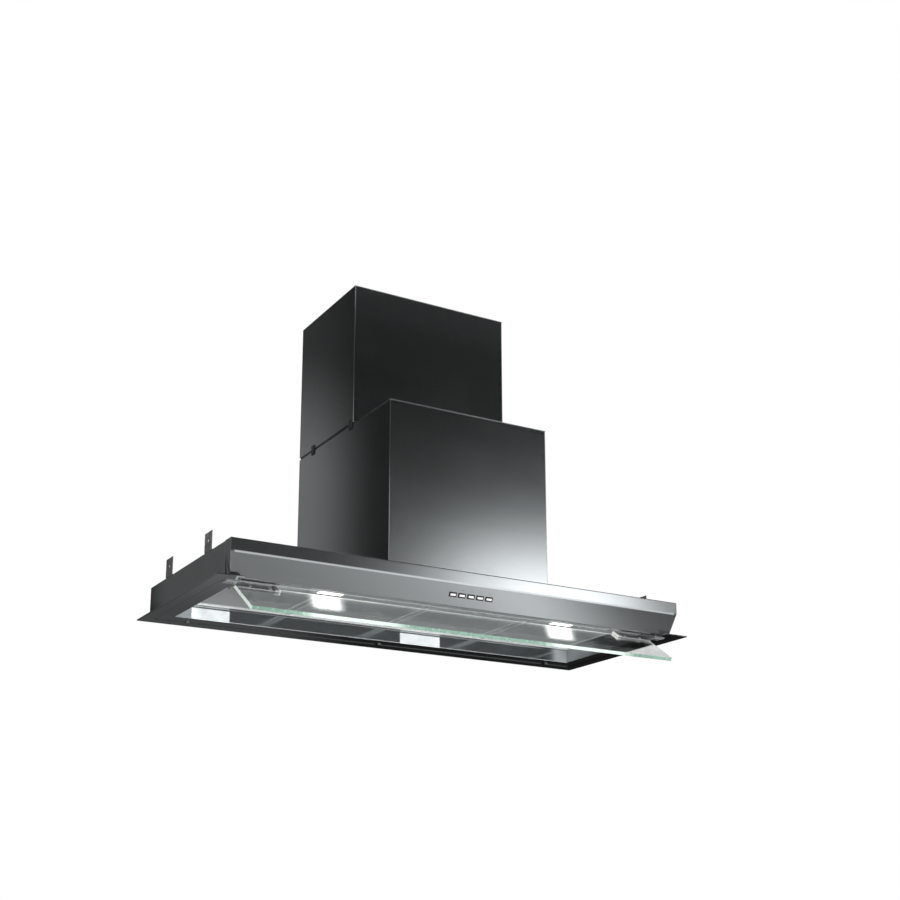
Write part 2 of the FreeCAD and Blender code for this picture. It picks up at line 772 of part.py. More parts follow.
def make_hinge_brackets():
    def bracket(name, turn):
        plate_x = turn(("opening_half - hinge_plate", "opening_half"))
        plate = box(name + "_plate", plate_x,
                    ("front_y + hinge_plate_front", "front_y + hinge_plate_back"),
                    ("pivot_z - barrel_radius - sheet", "rim_z + hinge_plate_top"))
        arm = box(name + "_arm", plate_x,
                  ("front_y + hinge_foot_front", "front_y + hinge_plate_front"),
                  ("rim_z - hinge_foot_sheet", "rim_z + hinge_plate_top"))
        foot = box(name + "_foot",
                   turn(("opening_half - hinge_plate", "opening_half + hinge_foot_width")),
                   ("front_y + hinge_foot_front", "front_y + hinge_plate_front"),
                   ("rim_z - hinge_foot_sheet", "rim_z"))
        return fuse(name, plate, arm, foot)

    node(both_sides("hinge_bracket", bracket), "hinge_brackets")


# Push buttons, made upright at the origin and turned onto the face
def make_buttons():
    for index in range(BUTTON_COUNT):
        number = index + 1
        middle = button_middle(index)
        stem = box("button_stem_%d" % number,
                   (middle + " - button_width/2", middle + " + button_width/2"),
                   ("-button_proud", "button_stem"), ("-button_height/2", "button_height/2"))
        back = "face_thickness + bezel_plate + play"
        flange = box("button_flange_%d" % number,
                     (middle + " - button_width/2 - button_flange_margin",
                      middle + " + button_width/2 + button_flange_margin"),
                     (back, back + " + button_flange"),
                     ("-button_height/2 - button_flange_margin",
                      "button_height/2 + button_flange_margin"))
        node(on_face(fuse("button_cap_%d" % number, stem, flange)), "button_%d" % number)


def make_bezel():
    last = button_middle(BUTTON_COUNT - 1)
    half = last + " + slot_width/2 + bezel_margin"
    tall = "slot_height/2 + bezel_margin/2"
    plate_y = ("face_thickness", "face_thickness + bezel_plate")
    plate = box("bezel_sheet", ("-(%s)" % half, half), plate_y, ("-(%s)" % tall, tall))
    parts = [plate]
    holes = []
    for index in range(BUTTON_COUNT):
        middle = button_middle(index)
        parts.append(box("bezel_collar_%d" % (index + 1),
                         (middle + " - slot_width/2 + bezel_play", middle + " + slot_width/2 - bezel_play"),
                         ("-play", plate_y[1]),
                         ("-slot_height/2 + bezel_play", "slot_height/2 - bezel_play")))
        holes.append(box("bezel_hole_%d" % (index + 1),
                         (middle + " - button_width/2 - play", middle + " + button_width/2 + play"),
                         ("-overrun", plate_y[1] + " + overrun"),
                         ("-button_height/2 - play", "button_height/2 + play")))
    for name, turn in (("left", mirrored), ("right", lambda span: span)):
        parts.append(box("bezel_side_" + name, turn((half + " - bezel_wall", half)),
                         (plate_y[1], plate_y[1] + " + bezel_side_depth"), ("-(%s)" % tall, tall)))
    node(on_face(cut("bezel", fuse("bezel_whole", *parts), *holes)), "button_bezel")


def make_switch_block():
    last = button_middle(BUTTON_COUNT - 1)
    half = last + " + slot_width/2 + bezel_margin"
    tall = "slot_height/2 + bezel_margin/2"
    start = "face_thickness + bezel_plate + bezel_side_depth"
    block = box("switch_case", ("-(%s)" % half, half), (start, start + " + switch_depth"),
                ("-(%s)" % tall, tall))
    node(on_face(group("switch_on_face", block)), "switch_block")


# Duct covers: two U-shaped sheets, open at the back
def u_cover(name, front, foot, top):
    whole = box(name + "_block", ("-cover_half", "cover_half"), (front, "-cover_back_gap"), (foot, top))
    inside = box(name + "_inside", ("-cover_half + sheet", "cover_half - sheet"),
                 (front + " + sheet", "overrun"), (foot + " - overrun", top + " + overrun"))
    return cut(name, whole, inside)


def make_covers():
    node(u_cover("lower_u", "cover_front_y", "canopy_top_z", "lower_top_z"), "lower_cover")
    node(u_cover("upper_u", "upper_front_y", "upper_foot_z", "upper_top_z"), "upper_cover")


# Lid of the lower cover, with an upstand inside the upper cover's foot that closes the joint
def make_lid():
    plate = box("lid_sheet", ("-cover_half + sheet", "cover_half - sheet"),
                ("cover_front_y + sheet", "-plate_thickness"), ("lid_z", "lower_top_z"))
    outlet = cylinder("lid_outlet", "collar_radius - collar_wall", "z",
                      ("lid_z - overrun", "lower_top_z + overrun"), "0", "duct_y")
    gland_hole = cylinder("lid_gland_hole", "gland_radius", "z",
                          ("lid_z - overrun", "lower_top_z + overrun"),
                          "gland_side", "front_y + gland_distance")
    upstand_z = ("lid_z", "upper_foot_z + lid_upstand_lap")
    outside = box("lid_upstand_outside", ("-cover_half + sheet", "cover_half - sheet"),
                  ("upper_front_y + sheet", "-plate_thickness"), upstand_z)
    inside = box("lid_upstand_inside", ("-cover_half + 2*sheet", "cover_half - 2*sheet"),
                 ("upper_front_y + 2*sheet", "overrun"), ("lid_z - overrun", "upper_foot_z + lid_upstand_lap + overrun"))
    upstand = cut("lid_upstand", outside, inside)
    node(fuse("lid_whole", cut("lid", plate, outlet, gland_hole), upstand), "lower_cover_lid")


# Clips that hold the upper cover over the joint, and the brackets at its top
def make_cover_clips():
    def clips(name, turn):
        parts = []
        outside = ("cover_half", "cover_half + clip_sheet")
        middle = "(lower_top_z + upper_foot_z)/2"
        for number, setback in enumerate(("upper_front_y + clip_front_offset",
                                          "-clip_back_offset"), start=1):
            tag = "%s_%d" % (name, number)
            plate = box(tag + "_plate", turn(outside),
                        (setback + " - clip_width/2", setback + " + clip_width/2"),
                        (middle + " - clip_height/2", middle + " + clip_height/2"))
            knob = cylinder(tag + "_knob", "clip_screw_radius", "x",
                            turn(("cover_half + clip_sheet", "cover_half + 2*clip_sheet")),
                            setback, middle + " - clip_height/4")
            parts.append(fuse(tag, plate, knob))
        return group(name, *parts)

    node(both_sides("cover_clip", clips), "cover_clips")


def make_top_brackets():
    def bracket(name, turn):
        upright = box(name + "_upright", turn(("cover_half - sheet - clip_sheet", "cover_half - sheet")),
                      ("-cover_back_gap - top_bracket_depth", "-cover_back_gap"),
                      ("upper_top_z - top_bracket_height", "upper_top_z"))
        tab = box(name + "_tab", turn(("cover_half - sheet - top_bracket_width", "cover_half - sheet")),
                  ("-cover_back_gap - clip_sheet", "-cover_back_gap"),
                  ("upper_top_z - top_bracket_height", "upper_top_z"))
        return fuse(name, upright, tab)

    node(both_sides("top_bracket", bracket), "top_brackets")


# Mounting plate: the back of the lower part, with the four fixing holes round the origin
def make_mounting_plate():
    plate = box("wall_plate", ("-plate_width/2", "plate_width/2"), ("-plate_thickness", "0"),
                ("canopy_top_z", "lower_top_z"))
    holes = []
    for column in ("-1", "1"):
        for row in ("-1", "1"):
            holes.append(cylinder("wall_hole_%s_%s" % (column, row), "wall_hole_radius", "y",
                                  ("-plate_thickness - overrun", "overrun"),
                                  column + "*wall_hole_spacing_across/2", row + "*wall_hole_spacing_up/2"))
    node(cut("wall_plate_cut", plate, *holes), "mounting_plate")


# Side brackets: two angle brackets at each end of the canopy, with a screw hole in each
def make_side_brackets():
    def brackets(name, turn):
        parts = []
        for number in (0, 1):
            tag = "%s_%d" % (name, number + 1)
            middle = "front_y + bracket_front + %d*bracket_spacing" % number
            y = (middle + " - bracket_width/2", middle + " + bracket_width/2")
            upright = box(tag + "_upright", turn(("body_half - bracket_sheet", "body_half")), y,
                          ("canopy_top_z", "canopy_top_z + bracket_height"))
            foot = box(tag + "_foot", turn(("body_half - bracket_foot", "body_half")), y,
                       ("canopy_top_z", "canopy_top_z + bracket_sheet"))
            hole = cylinder(tag + "_hole", "bracket_hole_radius", "x",
                            turn(("body_half - bracket_foot", "body_half + overrun")),
                            middle, "canopy_top_z + bracket_hole_height")
            parts.append(cut(tag, fuse(tag + "_whole", upright, foot), hole))
        return group(name, *parts)

    node(both_sides("side_bracket", brackets), "side_brackets")


# Blower housing: a drum with a straight outlet duct up to the lid, hollow, open at both sides
def make_scroll_housing():
    def drum(name, grow, half, duct_top):
        round_part = cylinder(name + "_round", "scroll_radius" + grow, "x",
                              ("-(%s)" % half, half), "scroll_y", "scroll_z")
        duct = box(name + "_duct", ("-(%s)" % half, half),
                   ("duct_front_y%s" % grow.replace("-", "+"), "duct_back_y" + grow),
                   ("scroll_z", duct_top))
        return fuse(name, round_part, duct)

    outside = drum("scroll_outside", "", "scroll_half_width", "lid_z")
    inside = drum("scroll_inside", " - scroll_wall", "scroll_half_width - scroll_wall", "lid_z + overrun")
    inlet = cylinder("scroll_inlet", "inlet_radius", "x",
                     ("-scroll_half_width - overrun", "scroll_half_width + overrun"),
                     "scroll_y", "scroll_z")
    node(cut("scroll", outside, inside, inlet), "scroll_housing")


def make_inlet_rings():
    def one(name, turn):
        return ring(name, "inlet_ring_radius", "inlet_radius", "x",
                    turn(("scroll_half_width", "scroll_half_width + inlet_ring_thickness")),
                    "scroll_y", "scroll_z")

    node(both_sides("inlet_ring", one), "scroll_inlet_rings")


# Impeller: a drum of blades between two end rings, carried by a disc and a hub in the middle
def make_impeller():
    inner = "impeller_radius - impeller_ring_depth"
    disc = cylinder("impeller_disc", "impeller_radius", "x",
                    ("-impeller_disc_thickness/2", "impeller_disc_thickness/2"), "scroll_y", "scroll_z")
    hub = cylinder("impeller_hub", "hub_radius", "x", ("-hub_half_length", "hub_half_length"),
                   "scroll_y", "scroll_z")
    parts = [disc, hub]
    for name, turn in (("left", mirrored), ("right", lambda span: span)):
        parts.append(ring("impeller_ring_" + name, "impeller_radius", inner, "x",
                          turn(("impeller_half_length - impeller_ring_thickness", "impeller_half_length")),
                          "scroll_y", "scroll_z"))
    for index in range(BLADE_COUNT):
        angle = 360.0 * index / BLADE_COUNT
        blade = doc.addObject("Part::Box", "blade_%d" % (index + 1))
        bind(blade, "Length", "2*impeller_half_length - impeller_ring_thickness")
        bind(blade, "Width", "impeller_ring_depth - blade_thickness")
        bind(blade, "Height", "blade_thickness")
        root = "(%s + blade_thickness/2)" % inner
        place(blade, "-impeller_half_length + impeller_ring_thickness/2",
              "scroll_y + %s*cos(%g)" % (root, angle), "scroll_z + %s*sin(%g)" % (root, angle),
              axis=(1, 0, 0), angle="%g" % (angle if angle else 360))
        parts.append(blade)
    bore = cylinder("impeller_bore", "shaft_radius", "x",
                    ("-hub_half_length - overrun", "hub_half_length + overrun"), "scroll_y", "scroll_z")
    node(cut("impeller_whole", fuse("impeller_parts", *parts), bore), "impeller")


def make_shaft():
    shaft = cylinder("shaft", "shaft_radius", "x",
                     ("motor_face - shaft_depth_in_motor", "hub_half_length"), "scroll_y", "scroll_z")
    node(shaft, "motor_shaft")


def make_motor():
    case = cylinder("motor_case", "motor_radius", "x",
                    ("motor_face - motor_length", "motor_face - motor_boss_length"), "scroll_y", "scroll_z")
    boss = cylinder("motor_boss", "motor_boss_radius", "x",
                    ("motor_face - motor_boss_length", "motor_face + motor_arm_thickness"),
                    "scroll_y", "scroll_z")
    bore = cylinder("motor_bore", "shaft_radius + shaft_clearance", "x",
                    ("motor_face - shaft_depth_in_motor - play", "motor_face + overrun"),
                    "scroll_y", "scroll_z")
    node(cut("motor_whole", fuse("motor_parts", case, boss), bore), "motor")


def make_motor_bracket():
    x = ("motor_face", "motor_face + motor_arm_thickness")
    arms = []
    for name, angle in (("front", 90.0), ("down", 210.0), ("up", 330.0)):
        arm = doc.addObject("Part::Box", "motor_arm_" + name)
        bind(arm, "Length", "motor_arm_thickness")
        bind(arm, "Width", "inlet_ring_radius")
        bind(arm, "Height", "motor_arm_width")
        place(arm, x[0], "scroll_y + motor_arm_width/2*sin(%g)" % angle,
              "scroll_z - motor_arm_width/2*cos(%g)" % angle, axis=(1, 0, 0), angle="%g" % angle)
        arms.append(arm)
    centre = cylinder("motor_arm_centre", "motor_radius", "x", x, "scroll_y", "scroll_z")
    hole = cylinder("motor_arm_hole", "motor_boss_radius", "x",
                    ("motor_face - overrun", "motor_face + motor_arm_thickness + overrun"),
                    "scroll_y", "scroll_z")
    node(cut("motor_arms", fuse("motor_arm_whole", centre, *arms), hole), "motor_bracket")


# Outlet collar on the lid, with the ledge that the two flaps lie on
def make_collar():
    tube = ring("collar_tube", "collar_radius", "collar_radius - collar_wall", "z",
                ("lower_top_z", "collar_foot_z + collar_height"), "0", "duct_y")
    flange = ring("collar_flange", "collar_radius + collar_flange", "collar_radius - collar_wall", "z",
                  ("lower_top_z", "collar_foot_z"), "0", "duct_y")
    ledge_top = "flap_z - flap_thickness/2 - play"
    ledge = ring("collar_ledge", "collar_radius - collar_wall/2",
                 "collar_radius - collar_wall - collar_ledge", "z",
                 (ledge_top + " - collar_flange_thickness", ledge_top), "0", "duct_y")
    pin_holes = cylinder("collar_pin_holes", "flap_pin_radius", "x",
                         ("-collar_radius - overrun", "collar_radius + overrun"), "duct_y", "flap_z")
    notches = box("collar_ledge_notches", ("-collar_radius", "collar_radius"),
                  ("duct_y - flap_knuckle_radius - play", "duct_y + flap_knuckle_radius + play"),
                  ("collar_foot_z", ledge_top + " + overrun"))
    cut_ledge = cut("collar_ledge_cut", ledge, notches)
    node(cut("collar", fuse("collar_parts", tube, flange, cut_ledge), pin_holes), "outlet_collar")


def make_flap(name, side, knuckle_starts):
    """A half disc on knuckles round the pin. side is -1 for the front flap and 1 for the rear one."""
    z = ("flap_z - flap_thickness/2", "flap_z + flap_thickness/2")
    disc = cylinder(name + "_disc", "collar_radius - collar_wall - flap_edge_gap", "z", z, "0", "duct_y")
    reach = ("duct_y + flap_root", "duct_y + collar_radius + overrun")
    if side < 0:
        reach = ("duct_y - collar_radius - overrun", "duct_y - flap_root")
    half = box(name + "_half", ("-collar_radius - overrun", "collar_radius + overrun"), reach,
               ("flap_z - overrun", "flap_z + overrun"))
    parts = [common(name + "_leaf", disc, half)]
    for number, start in enumerate(knuckle_starts, start=1):
        tag = "%s_knuckle_%d" % (name, number)
        x = ("%s*flap_knuckle_length" % start, "(%s + 1)*flap_knuckle_length - play" % start)
        round_part = cylinder(tag, "flap_knuckle_radius", "x", x, "duct_y", "flap_z")
        arm_y = ("duct_y", "duct_y + flap_root + flap_thickness")
        if side < 0:
            arm_y = ("duct_y - flap_root - flap_thickness", "duct_y")
        parts.append(fuse(tag + "_arm_joint", round_part, box(tag + "_arm", x, arm_y, z)))
    bore = cylinder(name + "_bore", "flap_pin_radius + pin_clearance", "x",
                    ("-collar_radius", "collar_radius"), "duct_y", "flap_z")
    return node(cut(name + "_whole", fuse(name + "_parts", *parts), bore), name)


def make_flaps():
    make_flap("damper_flap_front", -1, ("-3", "0"))
    make_flap("damper_flap_rear", 1, ("-1", "2"))
    pin = cylinder("flap_pin", "flap_pin_radius", "x",
                   ("-collar_radius", "collar_radius"), "duct_y", "flap_z")
    node(pin, "damper_pin")


# Electrical pieces on the canopy's top, inside the lower cover
def make_control_box():
    x = ("-control_box_left", "-control_box_left + control_box_width")
    y = ("front_y + control_box_front", "front_y + control_box_front + control_box_depth")
    z = ("canopy_top_z", "canopy_top_z + control_box_height")
    case = box("control_case", x, y, z)
    hollow = box("control_hollow", (x[0] + " + control_box_wall", x[1] + " - control_box_wall"),
                 (y[0] + " + control_box_wall", y[1] + " - control_box_wall"),
                 (z[0] + " + control_box_wall", z[1] + " - control_box_wall"))
    node(cut("control_whole", case, hollow), "control_box")


def make_capacitor():
    at = ("capacitor_side", "front_y + capacitor_front")
    can = cylinder("capacitor_can", "capacitor_radius", "z",
                   ("canopy_top_z", "canopy_top_z + capacitor_height"), *at)
    foot = cylinder("capacitor_foot", "capacitor_radius + capacitor_collar", "z",
                    ("canopy_top_z", "canopy_top_z + 2*capacitor_collar"), *at)
    node(fuse("capacitor_whole", can, foot), "capacitor")


def make_gland():
    at = ("gland_side", "front_y + gland_distance")
    reach = ("lid_z - gland_nut_height", "lower_top_z + gland_height")
    body = cylinder("gland_body", "gland_radius", "z", reach, *at)
    nut = cylinder("gland_nut", "gland_nut_radius", "z",
                   ("lower_top_z", "lower_top_z + gland_nut_height"), *at)
    under = cylinder("gland_under_nut", "gland_nut_radius", "z", ("lid_z - gland_nut_height", "lid_z"), *at)
    bore = cylinder("gland_bore", "gland_bore_radius", "z",
                    ("lid_z - gland_nut_height - overrun", "lower_top_z + gland_height + overrun"), *at)
    node(cut("gland_whole", fuse("gland_parts", body, nut, under), bore), "cable_gland")


# Screws under the rim and in the hinge brackets' feet
def make_rim_screws():
    screws = []
    for index in (-1, 0, 1):
        head = rear_screw_cylinder("rear_screw_head", index, "screw_head_radius",
                                   ("rim_z - screw_head_height", "rim_z"))
        stem = rear_screw_cylinder("rear_screw_stem", index, "screw_radius",
                                   ("rim_z", "rim_z + screw_length"))
        screws.append(fuse("rear_screw_%d" % (index + 1), head, stem))
    under = "rim_z - hinge_foot_sheet"
    for name, side in (("left", "-1"), ("right", "1")):
        for number in (1, 2):
            x = side + "*(opening_half + hinge_foot_width*%d/3)" % number
            y = "front_y + (hinge_foot_front + hinge_plate_front)/2"
            screws.append(cylinder("foot_screw_%s_%d" % (name, number), "screw_head_radius", "z",
                                   (under + " - screw_head_height", under), x, y))
    node(group("screws_under_rim", *screws), "rim_screws")


def build():
    fill_sheet()
    make_canopy()
    make_front_panel()
    make_front_end_caps()
    make_rim_rails()
    make_inner_walls()
    make_lamp_rail()
    make_rear_ledge()
    for index in range(FILTER_COUNT):
        make_filter(index)
    make_lamps()
    make_glass()
    make_clamps()
    make_clamp_bolts()
    make_clamp_end_caps()
    make_hinge_pins()
    make_hinge_brackets()
    make_buttons()
    make_bezel()
    make_switch_block()
    make_covers()
    make_lid()
    make_cover_clips()
    make_top_brackets()
    make_mounting_plate()
    make_side_brackets()
    make_scroll_housing()
    make_inlet_rings()
    make_impeller()
    make_shaft()
    make_motor()
    make_motor_bracket()
    make_collar()
    make_flaps()
    make_control_box()
    make_capacitor()
    make_gland()
    make_rim_screws()
    doc.recompute()


def check_and_write():
    for item in doc.Objects:
        if "Invalid" in item.State or "Error" in item.State:
            raise RuntimeError("%s did not compute: %s" % (item.Label, item.State))
    for name, piece in nodes.items():
        if piece.Shape.isNull() or not piece.Shape.isValid() or not piece.Shape.Solids:
            raise RuntimeError("%s has no valid solid" % name)
    os.makedirs("parts", exist_ok=True)
    for name, piece in nodes.items():
        piece.Shape.exportStep("parts/%s.step" % name)
        print("%-22s %2d solids %12.1f mm3" % (name, len(piece.Shape.Solids), piece.Shape.Volume))


build()
check_and_write()
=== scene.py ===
"""Finishes, small parts, lights and camera for the range hood."""

import json
from math import pi, radians

import bmesh
import bpy
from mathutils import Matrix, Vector

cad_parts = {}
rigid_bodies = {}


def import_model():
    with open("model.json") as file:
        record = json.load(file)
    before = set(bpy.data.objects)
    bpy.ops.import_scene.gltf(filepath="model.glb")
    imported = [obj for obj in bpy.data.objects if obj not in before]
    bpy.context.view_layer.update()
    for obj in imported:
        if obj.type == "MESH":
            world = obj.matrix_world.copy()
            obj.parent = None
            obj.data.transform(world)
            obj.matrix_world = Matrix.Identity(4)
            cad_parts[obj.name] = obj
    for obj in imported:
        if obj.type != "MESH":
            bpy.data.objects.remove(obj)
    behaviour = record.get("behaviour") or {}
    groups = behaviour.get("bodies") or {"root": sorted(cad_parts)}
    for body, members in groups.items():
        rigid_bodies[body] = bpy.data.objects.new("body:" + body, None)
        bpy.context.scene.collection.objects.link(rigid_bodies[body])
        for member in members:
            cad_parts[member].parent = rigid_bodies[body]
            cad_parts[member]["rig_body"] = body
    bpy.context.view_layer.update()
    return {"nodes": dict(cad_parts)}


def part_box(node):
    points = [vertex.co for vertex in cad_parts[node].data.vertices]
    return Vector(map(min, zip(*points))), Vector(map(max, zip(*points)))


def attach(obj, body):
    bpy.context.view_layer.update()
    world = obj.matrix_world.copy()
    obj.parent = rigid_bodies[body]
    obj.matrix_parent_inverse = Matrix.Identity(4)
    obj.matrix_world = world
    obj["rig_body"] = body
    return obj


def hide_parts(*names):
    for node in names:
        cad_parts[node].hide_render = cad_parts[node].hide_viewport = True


bl_info = {
    "name": "Range hood dressing",
    "version": (1, 0, 0),
    "blender": (4, 5, 0),
    "location": "View3D > Sidebar > Hood",
    "description": "Sheet metal, filters, glass, lamps and buttons of a range hood",
    "category": "Object",
}

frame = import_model()

FILTERS = range(1, 5)
BUTTONS = range(1, 6)

WELD = 2e-6
FLAT = radians(0.5)
SHARP = radians(32)

# What counts as a sheet's fold: its least angle and length, and the least breadth of its two faces.
LEAST_FOLD = radians(12)
LEAST_FOLD_LENGTH = 0.05
LEAST_FOLD_FACE = 0.004

# How nearly a face must look along a normal, as a cosine.
FACE_AGREEMENT = 0.97
PANE_AGREEMENT = 0.99

# The leaning face with the buttons, the dark rim of their caps, and the printed dots over them.
FACE_NORMAL = Vector((0.0, -0.9133, -0.4073))
BUTTON_RIM = 0.0011
DOT_FORWARD = 0.0071
DOT_UP = 0.0066
DOT_RADIUS = 0.0008

# The rim's screws: those in front of this line stand on the feet of the hinges.
HINGE_FEET_LINE = -0.1
REAR_SCREW_SINK = 0.0006
# Their measures, as shares of the head's radius.
SCREW_SHARES = {"Head Height": 0.42, "Recess Length": 1.15, "Recess Width": 0.24}

# Shares of a strand's width, of its height twice, and of the lip's radius twice.
STRAND_HEIGHT = 0.8
STRAND_SHIFT = 0.35
LATTICE_DROP = 0.9
LIP_RISE = 0.8
LIP_CORNER = 3

# How far above the lower cover its lid's outer side begins; that side is black, as painted shade in the
# joint.
LID_STEP = 0.0002

# The tubes' middle, along Y.
TUBE_LINE = -0.296

# The light that the glass mirrors as a pool under each lamp.
POOL_MARGIN = 0.046
POOL_DEPTH = 0.056
POOL_EDGE = 0.34
POOL_FADE = 2.5
POOL_POWER = 0.07
POOL_OFFSET = (-0.0125, -0.0165, -0.0015)

GROUND = -1.2
CARD_GROUND = GROUND + 0.01
VIEW_SPOT = (-1.197, -2.343, -0.746)
VIEW_RISE = radians(14.22)
VIEW_TURN = radians(-30.28)
VIEW_LENS = 57.5
VIEW_SHIFT = 0.15

NUMBER = "NodeSocketFloat"
VECTOR = "NodeSocketVector"
GEOMETRY = "NodeSocketGeometry"


class HoodFinishes(bpy.types.PropertyGroup):
    """Colours and finishes that someone repainting the hood would change."""

    steel: bpy.props.FloatVectorProperty(
        name="Satin steel", description="Colour of the front panel and the duct covers",
        subtype="COLOR", size=3, default=(0.57, 0.60, 0.61))
    inner_steel: bpy.props.FloatVectorProperty(
        name="Inner steel", description="Colour of the rim, the canopy and the recess walls",
        subtype="COLOR", size=3, default=(0.52, 0.55, 0.56))
    steel_roughness: bpy.props.FloatProperty(
        name="Steel roughness", description="How dull the brushed steel is",
        subtype="FACTOR", min=0.05, max=1.0, default=0.17)
    mesh_metal: bpy.props.FloatVectorProperty(
        name="Filter metal", description="Colour of the filters' mesh",
        subtype="COLOR", size=3, default=(0.47, 0.485, 0.49))
    glass_edge: bpy.props.FloatVectorProperty(
        name="Glass edge", description="Colour in the edges of the glass",
        subtype="COLOR", size=3, default=(0.27, 0.43, 0.35))
    button: bpy.props.FloatVectorProperty(
        name="Button", description="Colour of the button caps",
        subtype="COLOR", size=3, default=(0.86, 0.86, 0.84))
    lamp_glow: bpy.props.FloatProperty(
        name="Lamp glow", description="Strength of the light in the two lenses",
        min=0.0, max=60.0, default=3.0)


class HoodSizes(bpy.types.PropertyGroup):
    """Sizes of the small parts that the dressing adds."""

    bend_radius: bpy.props.FloatProperty(
        name="Bend radius", description="Outer radius of the sheets' folds",
        subtype="DISTANCE", unit="LENGTH", min=0.0002, max=0.004, default=0.0016)
    cell_width: bpy.props.FloatProperty(
        name="Mesh cell width", description="Width of one diamond of the filters' mesh",
        subtype="DISTANCE", unit="LENGTH", min=0.003, max=0.02, default=0.0068)
    cell_depth: bpy.props.FloatProperty(
        name="Mesh cell depth", description="Depth of one diamond of the filters' mesh",
        subtype="DISTANCE", unit="LENGTH", min=0.002, max=0.02, default=0.0044)
    strand: bpy.props.FloatProperty(
        name="Mesh strand", description="Width of one strand of the filters' mesh",
        subtype="DISTANCE", unit="LENGTH", min=0.0003, max=0.002, default=0.0009)
    lip_radius: bpy.props.FloatProperty(
        name="Filter lip radius", description="Radius of the rolled lip inside the filters' frames",
        subtype="DISTANCE", unit="LENGTH", min=0.0003, max=0.002, default=0.0009)
    screw_radius: bpy.props.FloatProperty(
        name="Screw head radius", description="Radius of the pan heads under the rim",
        subtype="DISTANCE", unit="LENGTH", min=0.001, max=0.006, default=0.0036)


def plug(tree, socket, value):
    """Links an input to another node's socket, or sets a number or a colour on it."""
    if isinstance(value, bpy.types.NodeSocket):
        tree.links.new(value, socket)
    elif socket.type == "RGBA":
        socket.default_value = (*value[:3], 1.0)
    else:
        socket.default_value = value


def grow(tree, kind, settings=None, **inputs):
    """Adds a node; each input is a number, a colour or another node's socket."""
    made = tree.nodes.new(kind)
    for key, value in (settings or {}).items():
        setattr(made, key, value)
    feed(tree, made, **inputs)
    return made


def feed(tree, node, **inputs):
    """Fills a node's inputs by name."""
    for key, value in inputs.items():
        plug(tree, node.inputs[key.replace("_", " ")], value)


def maths(tree, operation, *values):
    """One Math node; returns its result."""
    made = grow(tree, "ShaderNodeMath", {"operation": operation})
    for socket, value in zip(made.inputs, values):
        plug(tree, socket, value)
    return made.outputs[0]


def times(tree, total, *others):
    """The product of sockets and numbers."""
    for other in others:
        total = maths(tree, "MULTIPLY", total, other)
    return total


def plus(tree, total, *others):
    """The sum of sockets and numbers."""
    for other in others:
        total = maths(tree, "ADD", total, other)
    return total


def mapped(tree, value, factor, offset):
    """A value times a factor, with an offset added."""
    return maths(tree, "MULTIPLY_ADD", value, factor, offset)


def ramp(tree, value, start, end, low=0.0, high=1.0):
    """A smooth step of value from start to end, between low and high."""
    made = grow(tree, "ShaderNodeMapRange", {"interpolation_type": "SMOOTHSTEP"}, Value=value,
                From_Min=start, From_Max=end, To_Min=low, To_Max=high)
    return made.outputs["Result"]


def faded(tree, *steps):
    """The product of smooth steps, each of them what ramp asks for."""
    return times(tree, *(ramp(tree, *step) for step in steps))


def vector(tree, x=0.0, y=0.0, z=0.0):
    """A vector from three numbers or sockets."""
    return grow(tree, "ShaderNodeCombineXYZ", X=x, Y=y, Z=z).outputs[0]


def noise(tree, where, scale, detail, **more):
    """Noise at a place."""
    return grow(tree, "ShaderNodeTexNoise", Vector=where, Scale=scale, Detail=detail, **more).outputs[0]


def blend_colours(tree, mask, first, second):
    """Mixes two colours by a mask."""
    made = grow(tree, "ShaderNodeMix", {"data_type": "RGBA"})
    for index, value in ((0, mask), (6, first), (7, second)):
        plug(tree, made.inputs[index], value)
    return made.outputs[2]


def blend_shaders(tree, mask, first, second):
    """Mixes two shaders by a mask."""
    made = tree.nodes.new("ShaderNodeMixShader")
    for socket, value in zip(made.inputs, (mask, first, second)):
        tree.links.new(value, socket)
    return made.outputs[0]


def one_sided(tree, shader):
    """A shader on the front of a face; the back is clear."""
    behind = tree.nodes.new("ShaderNodeNewGeometry").outputs["Backfacing"]
    return blend_shaders(tree, behind, shader, tree.nodes.new("ShaderNodeBsdfTransparent").outputs[0])


def start_tree(kind, name, inputs, outputs):
    """Starts a node group; returns the tree, its inputs and its outputs."""
    tree = bpy.data.node_groups.new(name, kind)
    for label, socket_type, value in inputs:
        socket = tree.interface.new_socket(name=label, in_out="INPUT", socket_type=socket_type)
        if value is not None:
            socket.default_value = value
    for label, socket_type in outputs:
        tree.interface.new_socket(name=label, in_out="OUTPUT", socket_type=socket_type)
    return tree, tree.nodes.new("NodeGroupInput").outputs, tree.nodes.new("NodeGroupOutput").inputs


def shader_group(name, numbers, *outputs):
    """Starts a shader node group with a place, named numbers and number outputs."""
    inputs = [("Place", VECTOR, None), *((label, NUMBER, value) for label, value in numbers.items())]
    return start_tree("ShaderNodeTree", name, inputs, [(label, NUMBER) for label in outputs])


def stretched(tree, where, x, y, z):
    """A place, scaled apart along the three axes."""
    made = grow(tree, "ShaderNodeVectorMath", {"operation": "MULTIPLY"})
    plug(tree, made.inputs[0], where)
    plug(tree, made.inputs[1], vector(tree, x, y, z))
    return made.outputs[0]


